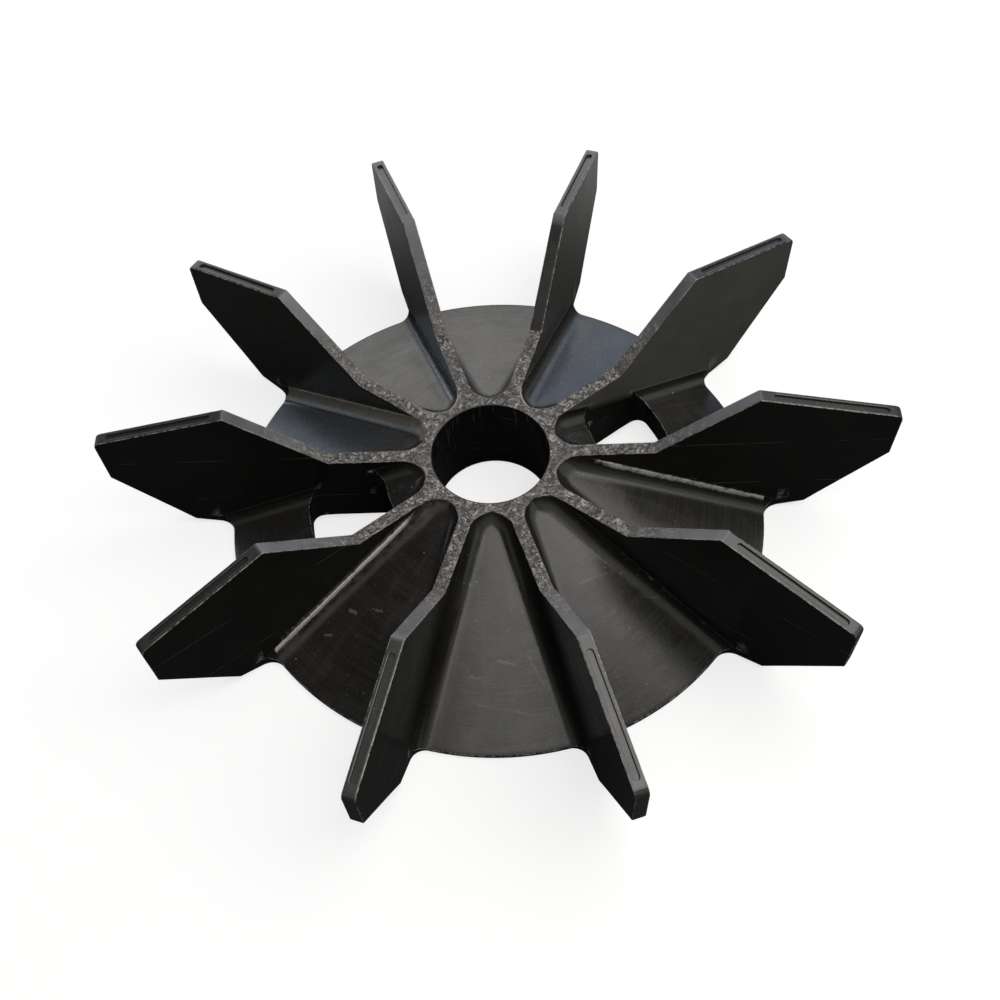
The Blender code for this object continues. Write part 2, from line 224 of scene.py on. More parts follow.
def mitres(points):
    """Unit-offset outward directions for a polyline walked with its outside on the left."""
    out = []
    n = len(points)
    for i in range(n):
        normals = []
        for a, b in ((i - 1, i), (i, i + 1)):
            if a < 0 or b >= n:
                continue
            dx, dz = points[b][0] - points[a][0], points[b][1] - points[a][1]
            d = math.hypot(dx, dz)
            if d > 1e-6:
                normals.append((-dz / d, dx / d))
        if len(normals) == 2:
            (ax, az), (bx, bz) = normals
            k = 1.0 + ax * bx + az * bz
            out.append(((ax + bx) / k, (az + bz) / k))
        else:
            out.append(normals[0])
    return out


def lerp(a, b, t):
    return tuple(p + (q - p) * t for p, q in zip(a, b))


def bezier_mid(a, corner, b):
    return tuple(0.25 * p + 0.5 * c + 0.25 * q for p, c, q in zip(a, corner, b))


def line(a, b, n):
    return [lerp(a, b, i / n) for i in range(n + 1)]


def web_radius(base, sign, c):
    """Edge of the corner web on the level line c: base is the cut's radius."""
    return base + sign * (WEB - math.sqrt(max(0.0, WEB * WEB - (WEB - min(c, WEB)) ** 2)))


FILLET_TAGS = {
    "root_fillet": [math.sin(math.pi * k / K) for k in range(K + 1)],
    "skirt_top": [smooth(k / K) for k in range(K + 1)],
    "root_ledge": [0.6, 1.0, 1.0, 0.85, 0.35, 0.0] + [0.0] * (K - 5),
    "root_rub_and_highlight": [0.7, 1.0, 1.0, 1.0, 0.95, 0.85, 0.65, 0.4, 0.2] + [0.0] * (K - 8),
}
HUB_TAGS = dict(FILLET_TAGS, hub_arc_highlight=[1.0, 0.9, 0.35] + [0.0] * (K - 2))


def edge_round(k):
    return E * min(1.0, C[k] / 1.0)


TAGS = ("worn_edge", "root_fillet", "grained_top", "skirt_top", "blade_edge", "root_ledge", "root_rub_and_highlight", "hub_arc_highlight", "face_painted_sheen")


class Patches:
    def __init__(self):
        self.verts, self.faces, self.tags = [], [], []

    def add(self, rows, **tags):
        """rows: a grid of points. Quads join them; repeated points merge later. Each tag is a
        number for the whole patch or a list with one number for each column."""
        m = len(rows[0])
        base = len(self.verts)
        columns = []
        for name in TAGS:
            value = tags.get(name, 0.0)
            columns.append(list(value) if isinstance(value, (list, tuple)) else [value] * m)
            assert len(columns[-1]) == m, (name, len(columns[-1]), m)
        per_point = list(zip(*columns))
        for row in rows:
            assert len(row) == m, (len(row), m)
            self.verts.extend(row)
            self.tags.extend(per_point)
        for i in range(len(rows) - 1):
            for j in range(m - 1):
                a = base + i * m + j
                self.faces.append((a, a + 1, a + m + 1, a + m))


def m_columns(r, first):
    """Angles of the open part of a row, from its first angle to the sector's centre line."""
    return [first + (HALF - first) * m / N_M for m in range(1, N_M + 1)]


def half_sector(window):
    P = Patches()
    # ---- rows: distances along the blade's face at which every surface is cut
    web_in = [WIN_IN - E + (WIN_IN + WEB - (WIN_IN - E)) * g / N_A for g in range(N_A + 1)]
    web_out = [WIN_OUT + E + (WIN_OUT - WEB - (WIN_OUT + E)) * g / N_A for g in range(N_A + 1)]
    flare = [RIM - E + (RIM + WEB - (RIM - E)) * g / N_A for g in range(N_A + 1)]
    slope_len = math.hypot(TIP_TOP[0] - PEAK[0], TIP_TOP[1] - PEAK[1])
    cosk = (TIP_TOP[0] - PEAK[0]) / slope_len
    s_end = slope_len - SLOT_IN + 0.4
    ends = [SLOT_HALF * (1 - math.cos(math.radians(a))) for a in (0, 30, 60, 90)]
    slot_s = [SLOT_IN + e for e in ends] + [s_end - e for e in ends[::-1]]
    near_slot = [PEAK[0] + s * cosk for s in slot_s[:4]]
    us = [X0 + d for d in (0.0, 0.8, 1.7, 2.7, 3.7, 4.7, 5.9, 7.1)]
    us += [u_of(r) for r in web_in + web_out + flare]
    us += [47.5, 52.0, 56.0, KNEE - 0.5, KNEE, KNEE + 0.5, 61.0]
    us += [u_of(r) for r in (RING, SEAT, FADE)] + [76.5, 80.5, 88.5]
    us += [PEAK[0] - 0.35, PEAK[0], PEAK[0] + 0.35] + near_slot
    us = sorted(us)
    rows = []
    for u in us:                       # drop rows that nearly repeat, never the fixed ones
        fixed = [u_of(r) for r in web_in + web_out + flare + [RING, SEAT, FADE]] + near_slot
        if rows and u - rows[-1] < 0.25 and not any(abs(u - f) < 1e-9 for f in fixed):
            continue
        if rows and u - rows[-1] < 1e-7:
            continue
        rows.append(u)
    in_skirt = [u for u in rows if u <= u_of(RIM - E) + 1e-9]
    A = [('A', u) for u in in_skirt]
    B = [('B', s) for s in range(1, N_B + 1)]
    CC = [('C', m) for m in range(1, N_M + 1)]
    lo_w, hi_w = u_of(WIN_IN - E) - 1e-9, u_of(WIN_OUT + E) + 1e-9

    def open_here(u0, u1):
        return window and u0 > lo_w and u1 < hi_w

    # ---- star outline and its rounded edge, for the part at hub height
    def star_edge(idx):
        te = theta_at(HUB_Z - E, idx)
        ts = theta_at(HUB_Z, idx)
        (x, y), n = plan(off_at(ts, idx), idx)
        (xe, ye), _ = plan(off_at(te, idx), idx)
        low = (xe, ye, HUB_Z - E)
        corner = (x, y, HUB_Z)
        inner = (x + E * n[0], y + E * n[1], HUB_Z)
        return low, bezier_mid(low, corner, inner), inner, te

    # ---- the blade's outline outside the star: top chain, tip chain, bottom chain
    top_us = [u for u in rows if u > KNEE - 1.0]
    chain_top = []
    for u in top_us:
        z = top_z(u)
        if abs(u - PEAK[0]) < 0.01:
            z -= 0.10
        chain_top.append((u, z))
    u_end = top_us[-1]                                    # end of the flare
    direction = (cosk, (TIP_TOP[1] - PEAK[1]) / slope_len)
    s_now = (u_end - PEAK[0]) / cosk
    tail = []
    s_far = [s for s in slot_s[4:]]
    r_tip = 2.5
    tip_dir = (TIP_LOW[0] - TIP_TOP[0], TIP_LOW[1] - TIP_TOP[1])
    tl = math.hypot(*tip_dir)
    tip_dir = (tip_dir[0] / tl, tip_dir[1] / tl)
    cos_in = -(direction[0] * tip_dir[0] + direction[1] * tip_dir[1])
    half_in = math.acos(cos_in) / 2
    cut = r_tip / math.tan(half_in)
    s_list = [s_now + (s_far[0] - s_now) * i / 6 for i in range(1, 7)] + s_far[1:]
    s_list += [(s_far[-1] + slope_len - cut) / 2, slope_len - cut]
    for s in s_list:
        tail.append((PEAK[0] + direction[0] * s, PEAK[1] + direction[1] * s))
    cx = TIP_TOP[0] - direction[0] * cut + direction[1] * r_tip
    cz = TIP_TOP[1] - direction[1] * cut - direction[0] * r_tip
    a0 = math.atan2(tail[-1][1] - cz, tail[-1][0] - cx)
    end = (TIP_TOP[0] + tip_dir[0] * cut, TIP_TOP[1] + tip_dir[1] * cut)
    a1 = math.atan2(end[1] - cz, end[0] - cx)
    for i in range(1, 5):
        a = a0 + (a1 - a0) * i / 4
        tail.append((cx + r_tip * math.cos(a), cz + r_tip * math.sin(a)))
    n_out = len(tail)
    # bottom chain, from the flare's end to the heel and up to the tip's low corner
    path = [(r, lower_edge(r)) for r in (u_end, 105.2, 106.4, 107.8, 109.2, 110.8, 112.4)]
    path[0] = (u_end, lower_edge(RIM + WEB))
    path += [HEEL] + [lerp(HEEL, TIP_LOW, i / 10) for i in range(1, 11)]
    seg = [0.0]
    for a, b in zip(path, path[1:]):
        seg.append(seg[-1] + math.hypot(b[0] - a[0], b[1] - a[1]))
    heel_at = seg[7] / seg[-1]
    lens = [0.0]
    prev = chain_top[-1]
    for t in tail:
        lens.append(lens[-1] + math.hypot(t[0] - prev[0], t[1] - prev[1]))
        prev = t
    fr = [v / lens[-1] for v in lens]
    i_heel = min(range(1, n_out), key=lambda i: abs(fr[i] - heel_at))
    bottom = []
    for i in range(n_out + 1):
        if i <= i_heel:
            f = fr[i] / fr[i_heel] * heel_at
        else:
            f = heel_at + (fr[i] - fr[i_heel]) / (1 - fr[i_heel]) * (1 - heel_at)
        d = f * seg[-1]
        j = max(k for k in range(len(seg) - 1) if seg[k] <= d + 1e-9)
        w = min(1.0, (d - seg[j]) / (seg[j + 1] - seg[j]))
        bottom.append(lerp(path[j], path[j + 1], w))
    # vertical samples of a face row, as fractions from the top inset point to the bottom one
    def split(z_hi, z_f, z_lo):
        out = [z_hi + (z_f - z_hi) * i / N_F for i in range(N_F + 1)]
        return out + [z_f + (z_lo - z_f) * i / N_W for i in range(1, N_W + 1)]

    tip_top, tip_low = tail[-1], bottom[-1]
    # tip chain points come from the same split as the face rows
    zs = split(tip_top[1], tip_low[1] + 3.6, tip_low[1])
    tip_chain = [lerp(tip_top, tip_low, (z - tip_top[1]) / (tip_low[1] - tip_top[1])) for z in zs]
    outline = chain_top + tail + tip_chain[1:] + bottom[::-1][1:]
    normal = mitres(outline)
    n_top = len(chain_top)
    i_tip0 = n_top + n_out - 1                 # index of tail[-1]
    i_low = i_tip0 + N_F + N_W                 # index of the tip's low corner
    edge = [E] * len(outline)
    last = len(outline) - 1
    for back, share in ((0, 0.0), (1, 0.4), (2, 0.8)):
        edge[last - back] = E * share

    def inset(i):
        (x, z), (nx, nz), e = outline[i], normal[i], edge[i]
        return (x - e * nx, H, z - e * nz)

    # ---- strip along the outline: rounded edge and the narrow top, tip and bottom surfaces
    s_of = {}
    for i in range(n_top):
        s_of[i] = (outline[i][0] - PEAK[0]) / cosk
    for i, s in enumerate(s_list):
        s_of[n_top + i] = s
    strip, slot_rows = [], []
    for i, (x, z) in enumerate(outline):
        e = edge[i]
        p0 = inset(i)
        p2 = (x, H - e, z)
        p1 = bezier_mid(p0, (x, H, z), p2)
        s = s_of.get(i, -1.0)
        ys = None
        if slot_s[0] - 1e-6 <= s <= slot_s[-1] + 1e-6:
            d = min(s - slot_s[0], slot_s[-1] - s)
            ys = SLOT_HALF if d >= SLOT_HALF else math.sqrt(max(0.0, SLOT_HALF ** 2 - (SLOT_HALF - d) ** 2))
            if ys < 0.02:
                ys = 0.0
        w = H - e
        if ys is None:
            cols = list(ROW_Y) + [w]
        else:
            cols = [ys, (ys + ROW_Y[2]) / 2, ROW_Y[2], ROW_Y[3], w]
            nx, nz = normal[i]
            lip = 0.12 if ys > 0.02 else 0.0
            surf = (x, ys, z)
            wall = (x - nx * lip, ys - lip if ys > 0.2 else ys, z - nz * lip)
            floor = [(x - nx * SLOT_DEEP, yy, z - nz * SLOT_DEEP) for yy in (max(0.0, ys - 2 * lip), max(0.0, ys - 2 * lip) / 2, 0.0)]
            slot_rows.append([surf, wall] + floor)
        strip.append([p0, p1, p2] + [(x, yy, z) for yy in cols[3::-1]])
    P.add(strip, worn_edge=[0.45, 1.0, 0.55, 0.0, 0.0, 0.0, 0.0], blade_edge=[0.0, 0.6, 1.0, 1.0, 1.0, 1.0, 1.0])
    P.add(slot_rows, worn_edge=[0.7, 0.0, 0.0, 0.0, 0.0], blade_edge=[1.0, 0.4, 0.6, 0.6, 0.6])
    # ---- star edge rows inside the outline's start
    first_top = top_us[0]
    star_us = [u for u in rows if u <= first_top + 1e-9]
    flat = []
    for u in star_us:
        low, mid, inner, te = star_edge(('A', u))
        if u == first_top:
            low, mid, inner = strip[0][0], strip[0][1], strip[0][2]
            flat.append([low, mid] + strip[0][2:])
        else:
            flat.append([low, mid] + [(inner[0], inner[1] * f, HUB_Z) for f in YF[::-1]])
    P.add(flat, worn_edge=[0.45, 1.0, 0.55, 0.0, 0.0, 0.0, 0.0], grained_top=[0.0, 0.6, 1.0, 1.0, 1.0, 1.0, 1.0])
    # ---- fan between the star's root and the bore
    boundary = flat[0][2:][::-1]                    # from the middle plane to the edge
    bc = []
    for idx in B + CC:
        low, mid, inner, te = star_edge(idx)
        bc.append([low, mid, inner])
    P.add([[flat[0][0], flat[0][1], flat[0][2]]] + bc, worn_edge=[0.45, 1.0, 0.55], grained_top=[0.0, 0.6, 1.0], hub_arc_highlight=[1.0, 0.8, 0.0])
    boundary = boundary + [b[2] for b in bc]
    Q = len(boundary) - 1
    ring = [(BORE + E) * 1.0 for _ in range(Q + 1)]
    circle = [polar(BORE + E, HALF * q / Q) + (HUB_Z,) for q in range(Q + 1)]
    P.add([[lerp(a, b, t) for a, b in zip(boundary, circle)] for t in (0, 0.4, 0.75, 1.0)], grained_top=1.0)

    def round_ring(r, z, sr, sz):
        """Three rings that round the corner of a turned edge at (r, z)."""
        out = []
        a3, c3, b3 = (r + sr * E, z), (r, z), (r, z + sz * E)
        for rr, zz in (a3, (0.25 * a3[0] + 0.5 * c3[0] + 0.25 * b3[0], 0.25 * a3[1] + 0.5 * c3[1] + 0.25 * b3[1]), b3):
            out.append([polar(rr, HALF * q / Q) + (zz,) for q in range(Q + 1)])
        return out

    upper = round_ring(BORE, HUB_Z, 1, -1)
    lower = round_ring(BORE, TUBE_Z, 1, 1)[::-1]
    wall = [[polar(BORE, HALF * q / Q) + (HUB_Z - E + (TUBE_Z + 2 * E - HUB_Z) * t,) for q in range(Q + 1)]
            for t in (0.2, 0.4, 0.6, 0.8)]
    P.add(upper + wall + lower)

    # ---- blade face inside the flare's end
    def face_low(u):
        r = math.hypot(u, H)
        return cone(r) + ROOT

    face_rows = {}
    for u in rows:
        if u <= first_top + 1e-9:
            low, mid, inner, te = star_edge(('A', u))
            head = flat[star_us.index(u)][0]
        else:
            head = strip[top_us.index(u)][0]
        zf = face_low(u)
        if head[2] <= zf + 1e-6:
            col = [head] * (N_F + 1)
        else:
            col = line(head, (u, H, zf), N_F)
        face_rows[u] = col
    r_in_end, r_out_end = WIN_IN + WEB, WIN_OUT - WEB

    def bevel_low(r):
        """Rounding of the rib's lower edge at radius r."""
        e = min(E, max(0.0, 0.8 * (under_at(r, 0.0) - RIB_Z)))
        if window and r > r_out_end - 9.0 and r < WIN_OUT + 1.0:
            e = E * max(0.0, min(1.0, (r_out_end - r) / 4.0))
        return e

    P.add([face_rows[u] for u in rows], face_painted_sheen=1.0)
    if window:
        mids = [u for u in rows if u_of(r_in_end) - 1e-9 <= u <= u_of(r_out_end) + 1e-9]
        block = []
        for u in mids:
            r = math.hypot(u, H)
            zf, zu, zl = face_low(u), under_at(r, 0.0), RIB_Z + bevel_low(r)
            block.append(line((u, H, zf), (u, H, zu), N_W) + line((u, H, zu), (u, H, zl), N_R)[1:])
        P.add(block)
    # ---- blade face outside the flare's end
    outer_face = []
    for i in range(n_out + 1):
        ti = n_top - 1 + i
        head = inset(ti)
        bi = last - i
        foot = inset(bi)
        if i == 0:
            zf = face_low(u_end)
            col = line(head, (u_end, H, zf), N_F) + line((u_end, H, zf), foot, N_W)[1:]
        elif i == n_out:
            col = [inset(i_tip0 + k) for k in range(N_F + N_W + 1)]
        else:
            zz = split(head[2], foot[2] + 3.6 - E, foot[2])
            col = [lerp(head, foot, (z - head[2]) / (foot[2] - head[2])) for z in zz]
        outer_face.append(col)
    P.add(outer_face, face_painted_sheen=1.0)

    # ---- skirt top: fillet levels and the open wedge
    def level_row(idx):
        te = theta_at(HUB_Z - E, idx) if not (idx[0] == 'A' and idx[1] > KNEE) else 0.0
        out = []
        for t in TH:
            tt = te + (math.pi / 2 - te) * t / (math.pi / 2)
            (x, y), _ = plan(off_at(tt, idx), idx)
            z = cone(math.hypot(x, y)) + rise(tt)
            out.append((x, y, z))
        return out

    def wedge_row(edge_point):
        r = math.hypot(edge_point[0], edge_point[1])
        a = math.atan2(edge_point[1], edge_point[0])
        return [edge_point] + [polar(r, b) + (cone(r),) for b in m_columns(r, a)]

    levels = {u: level_row(('A', u)) for u in in_skirt}
    runs = []
    if window:
        runs.append([u for u in in_skirt if u <= u_of(WIN_IN - E) + 1e-9])
        runs.append([u for u in in_skirt if u >= u_of(WIN_OUT + E) - 1e-9])
    else:
        runs.append(in_skirt)
    for run in runs:
        P.add([levels[u] for u in run], **FILLET_TAGS)
        P.add([wedge_row(levels[u][-1]) for u in run], skirt_top=1.0)
    hub_levels = [level_row(i) for i in B + CC]
    P.add([levels[in_skirt[0]]] + hub_levels, **HUB_TAGS)
    corner_rows = [levels[in_skirt[0]][-1]] + [hub_levels[i][-1] for i in range(N_B)]
    corner_grid = [wedge_row(p) for p in corner_rows]
    last_row = [hub_levels[N_B - 1][-1]] + [hub_levels[N_B + m][-1] for m in range(N_M)]
    corner_grid[-1] = last_row
    P.add(corner_grid, skirt_top=1.0)

    # ---- cut edges: rim, and in a window sector its inner and outer walls
    def columns(r, k_from):
        """Plan points of a row of constant radius: level columns k_from.. and the wedge's."""
        pts = [at_y(r, H + C[k]) for k in range(k_from, K + 1)]
        a = math.asin((H + C[K]) / r)
        return pts + [polar(r, b) for b in m_columns(r, a)]

    def cut_edge(base, sign, levels_down, bottom_z, top_only=False):
        """Web, rounded edges and wall of a vertical cut. sign is +1 where the part lies inside
        the cut's radius. levels_down gives the heights between the wall's top and foot."""
        r0 = base - sign * E
        top_grid, low_grid = [], []
        rims = []
        for k in range(KW + 1):
            e = edge_round(k)
            re = web_radius(base + sign * 0.0, sign, C[k]) - sign * e
            if k == KW:
                re = r0
            seq_t, seq_b = [], []
            for g in range(N_A + 1):
                r = r0 + (re - r0) * g / N_A
                x, y = at_y(r, H + C[k])
                seq_t.append((x, y, cone(r) + rise(TH[k])))
                seq_b.append((x, y, bottom_z(r, C[k])))
            top_grid.append(seq_t)
            low_grid.append(seq_b)
            rw = web_radius(base, sign, C[k])
            rims.append((rw, at_y(rw, H + C[k]), e, seq_t[-1], seq_b[-1], TH[k], C[k]))
        a = math.asin((H + C[K]) / base)
        outer = []
        for k in range(KW + 1, K + 1):
            outer.append((at_y(base, H + C[k]), at_y(r0, H + C[k]), TH[k], C[k]))
        a0_ = math.asin((H + C[K]) / r0)
        for b, b2 in zip(m_columns(base, a), m_columns(r0, a0_)):
            outer.append((polar(base, b), polar(r0, b2), math.pi / 2, ROOT))
        for (xy, xy0, t, c) in outer:
            st = xy0 + (cone(r0) + rise(t),)
            sb = xy0 + (bottom_z(r0, c),)
            rims.append((base, xy, E, st, sb, t, c))
        P.add(top_grid, root_fillet=[0.6] * (N_A + 1), skirt_top=0.3)
        P.add(low_grid)
        wall_rows = []
        for rw, xy, e, st, sb, t, c in rims:
            z_hi = cone(rw) + rise(t) - e
            z_lo = bottom_z(rw, c) + e
            if e == 0.0:
                p_hi, p_lo = st, sb
                z_hi, z_lo = st[2], sb[2]
                xy = st[:2]
                m1, m2 = st, sb
            else:
                p_hi, p_lo = xy + (z_hi,), xy + (z_lo,)
                m1 = bezier_mid(st, xy + (cone(rw) + rise(t),), p_hi)
                m2 = bezier_mid(sb, xy + (bottom_z(rw, c),), p_lo)
            stops = levels_down(rw, c, z_hi, z_lo)
            wall_rows.append([st, m1] + [xy + (z,) for z in stops] + [m2, sb])
        n_stops = len(wall_rows[0]) - 4
        P.add(wall_rows, worn_edge=[0.4, 1.0] + [0.4] + [0.0] * (n_stops - 2) + [0.4] + [1.0, 0.4])

    def plain_stops(r, c, hi, lo):
        return [hi + (lo - hi) * i / N_W for i in range(N_W + 1)]

    cut_edge(RIM, 1, plain_stops, lambda r, c: lower_edge(r))
    if window:
        cut_edge(WIN_IN, 1, plain_stops, lambda r, c: under_at(r, c))

        def deep_stops(r, c, hi, lo):
            zu = under_at(r, c)
            return [hi + (zu - hi) * i / N_W for i in range(N_W + 1)] + [zu + (lo - zu) * i / N_R for i in range(1, N_R + 1)]

        cut_edge(WIN_OUT, -1, deep_stops, lambda r, c: RIB_Z)

    # ---- underside
    rib_rs = [TUBE, 30.0, 33.0, 36.0] + [math.hypot(u, H) for u in rows if u >= u_of(WIN_IN - E) - 1e-9 and u <= u_of(FADE) + 1e-9]

    def rib_cols(r, e, r_bot=None):
        """Rib bottom from the middle plane out, its rounded edge, up to the face."""
        rb = r if r_bot is None else r_bot
        flat_cols = [at_y(rb, y) + (RIB_Z,) for y in ROW_Y + (H - e,)]
        p0 = at_y(r, H) + (RIB_Z + e,)
        corner = at_y(0.5 * (r + rb), H) + (RIB_Z,)
        p1 = bezier_mid(flat_cols[-1], corner, p0)
        if e == 0.0:
            p0 = p1 = flat_cols[-1]
        return flat_cols + [p1, p0]

    def under_cols(r):
        return [at_y(r, H + C[k]) + (under_at(r, C[k]),) for k in range(K + 1)] + \
               [polar(r, b) + (under(r),) for b in m_columns(r, math.asin((H + C[K]) / r))]

    inner_rs = [r for r in rib_rs if r <= WIN_OUT + 1e-6]
    inner_rs = [r for r in inner_rs if r < WIN_OUT - 1e-6] + [WIN_OUT]
    outer_rs = [RING] + [r for r in rib_rs if r > RING + 1e-6]
    # rib bottoms
    ribs = []
    for r in inner_rs:
        if window and r > r_out_end + 1e-6:
            continue
        if r == WIN_OUT and not window:
            ribs.append(rib_cols(WIN_OUT, E, WIN_OUT + E))
        else:
            ribs.append(rib_cols(r, bevel_low(r)))
    P.add(ribs)
    if window:                                     # between the web's end and the ring
        seq = [WIN_OUT + E + (r_out_end - (WIN_OUT + E)) * g / N_A for g in range(N_A + 1)]
        P.add([[at_y(r, y) + (RIB_Z,) for y in ROW_Y + (H,)] for r in seq])
    ribs_out = [rib_cols(RING, E, RING - E)] + [rib_cols(r, bevel_low(r)) for r in outer_rs[1:]]
    P.add(ribs_out)
    # rib faces
    def rib_face(r, e):
        return line(at_y(r, H) + (RIB_Z + e,), at_y(r, H) + (under_at(r, 0.0),), N_R)

    limit = r_in_end if window else WIN_OUT
    P.add([rib_face(r, E if (r == WIN_OUT) else bevel_low(r)) for r in inner_rs if r <= limit + 1e-6])
    P.add([rib_face(r, E if r == RING else bevel_low(r)) for r in outer_rs])
    # skirt's underside
    limit = WIN_IN - E if window else WIN_OUT
    P.add([under_cols(r) for r in inner_rs if r <= limit + 1e-6])
    P.add([under_cols(r) for r in outer_rs])
    # ring rib
    def ring_bottom(r, y_edge):
        return [at_y(r, y) + (RIB_Z,) for y in ROW_Y + (y_edge,)] + \
               [at_y(r, H + C[k]) + (RIB_Z,) for k in range(1, K + 1)] + \
               [polar(r, b) + (RIB_Z,) for b in m_columns(r, math.asin((H + C[K]) / r))]

    P.add([ring_bottom(WIN_OUT + E, H if window else H - E), ring_bottom(RING - E, H - E)])

    def ring_wall(r, side):
        cols = []
        rb = r + side * E
        plan_w = [at_y(r, H + C[k]) for k in range(K + 1)] + [polar(r, b) for b in m_columns(r, math.asin((H + C[K]) / r))]
        plan_b = [at_y(rb, H + C[k]) for k in range(K + 1)] + [polar(rb, b) for b in m_columns(rb, math.asin((H + C[K]) / rb))]
        cs = C + [ROOT] * N_M
        for n, (w, b, c) in enumerate(zip(plan_w, plan_b, cs)):
            if n == 0:
                cc = rib_cols(r, E, rb)
                foot, mid, top = cc[4], cc[5], cc[6]
            else:
                foot = b + (RIB_Z,)
                top = w + (RIB_Z + E,)
                mid = bezier_mid(foot, w + (RIB_Z,), top)
            cols.append([foot, mid] + line(top, w + (under_at(r, c),), N_R))
        P.add(cols)

    if not window:
        ring_wall(WIN_OUT, 1)
    ring_wall(RING, -1)
    # from where the ribs end to the rim's seat
    r_fade = math.hypot(u_of(FADE), H)
    seat_rs = [r_fade] + [math.hypot(u, H) for u in rows if u > u_of(FADE) + 1e-6 and u <= u_of(RIM - E) + 1e-9]

    def seat_row(r):
        z = under(r) if r < SEAT - 1e-6 else 0.0
        if r == r_fade:
            z = RIB_Z
        return [at_y(r, y) + (z,) for y in ROW_Y + (H,)] + \
               [at_y(r, H + C[k]) + (z,) for k in range(1, K + 1)] + \
               [polar(r, b) + (z,) for b in m_columns(r, math.asin((H + C[K]) / r))]

    P.add([seat_row(r) for r in seat_rs])
    # blade's lower edge between the seat and the flare's end
    P.add([[(u_end if r == flare[-1] else at_y(r, y)[0], y, lower_edge(r)) for y in ROW_Y + (H,)]
           for r in flare])
    # hub tube
    tube = [at_y(TUBE, y) for y in ROW_Y + (H - E, H - 0.25 * E, H)] + \
           [at_y(TUBE, H + C[k]) for k in range(1, K + 1)] + \
           [polar(TUBE, b) for b in m_columns(TUBE, math.asin((H + C[K]) / TUBE))]
    foot = [polar(TUBE - E, math.atan2(y, x)) + (TUBE_Z,) for x, y in tube]
    assert len(tube) == Q + 1, (len(tube), Q + 1)
    circle_low = [polar(BORE + E, HALF * q / Q) + (TUBE_Z,) for q in range(Q + 1)]
    P.add([[lerp(a, b, t) for a, b in zip(circle_low, foot)] for t in (0, 0.5, 1.0)])
    rc = rib_cols(TUBE, bevel_low(TUBE))
    head = rc + [xy + (RIB_Z + E,) for xy in tube[7:]]
    P.add([foot,
           [bezier_mid(f, xy + (TUBE_Z,), xy + (TUBE_Z + E,)) for f, xy in zip(foot, tube)],
           [xy + (TUBE_Z + E,) for xy in tube], head])
    rise_cols = [line(h, h[:2] + (under_at(TUBE, c),), N_R) for h, c in zip(head[6:], C + [ROOT] * N_M)]
    P.add(rise_cols)
    return P


def step_out(v, width):
    """Widens the ledge at the top of one root's fillet, between the hub and the rim."""
    r = np.hypot(v[:, 0], v[:, 1])
    h = v[:, 2] - (RIM_Z + (RIM - r) * SLOPE)
    bump = np.interp(h, (1.6, 2.5, 3.44, 4.36, 5.29, 5.45), (0.0, 0.2, 0.55, 0.9, 1.0, 0.0))
    fade = np.interp(r, (31.0, 43.0, 84.0, 95.0), (0.0, 1.0, 1.0, 0.0))
    wavy = 0.85 + 0.15 * np.sin(r * 1.7) * np.sin(r * 0.61 + 1.0)
    on_fillet = (v[:, 1] >= H + 0.005) & (r < RIM)
    v[:, 1] += np.where(on_fillet, width * bump * fade * wavy, 0.0)


def whole_mesh():
    """All twenty half-sectors, as vertices in metres and faces."""
    halves = {False: half_sector(False), True: half_sector(True)}
    verts, faces, tags = [], [], []
    for b in range(10):
        a = math.radians(-18.0 + 36.0 * b)
        ca, sa = math.cos(a), math.sin(a)
        for side in (1, -1):
            sector = b if side == 1 else b - 1          # sector 0 lies between blades 0 and 1
            P = halves[sector % 10 in (0, 5)]
            v = np.array(P.verts, float)
            if (b, side) in LEDGE_STEP:
                step_out(v, LEDGE_STEP[b, side])
            v[:, 1] *= side
            w = v.copy()
            w[:, 0] = ca * v[:, 0] - sa * v[:, 1]
            w[:, 1] = sa * v[:, 0] + ca * v[:, 1]
            base = sum(len(q) for q in verts)
            verts.append(w)
            t = np.array(P.tags, float)
            t[:, TAGS.index("root_ledge")] *= LEDGE_WEAR_AND_HIGHLIGHT.get((b, side), 0.2)
            # per blade side strength of the painted sheen on its face
            t[:, TAGS.index("face_painted_sheen")] *= FACE_PAINTED_SHEEN.get((b, side), 0.0)
            t[:, TAGS.index("root_rub_and_highlight")] *= ROOT_RUB_AND_HIGHLIGHT.get((b, side), 0.0)
            t[:, TAGS.index("hub_arc_highlight")] *= HUB_ARC_HIGHLIGHT.get((b, side), 0.0)
            out = np.hypot(v[:, 0], v[:, 1])
            # inside the peak the blade-edge mask is scaled per blade: painted light on the inner slopes
            t[out < PEAK[0] - 1.0, TAGS.index("blade_edge")] *= SLOPE_PAINTED_LIGHT.get(b, 0.75)
            t[:, TAGS.index("root_ledge")] *= np.interp(out, (31.0, 40.0), (0.0, 1.0))
            tags.append(t)
            f = np.array(P.faces, int) + base
            if side < 0:
                f = f[:, ::-1]
            faces.append(f)
    return np.concatenate(verts) * 0.001, np.concatenate(faces), np.concatenate(tags)


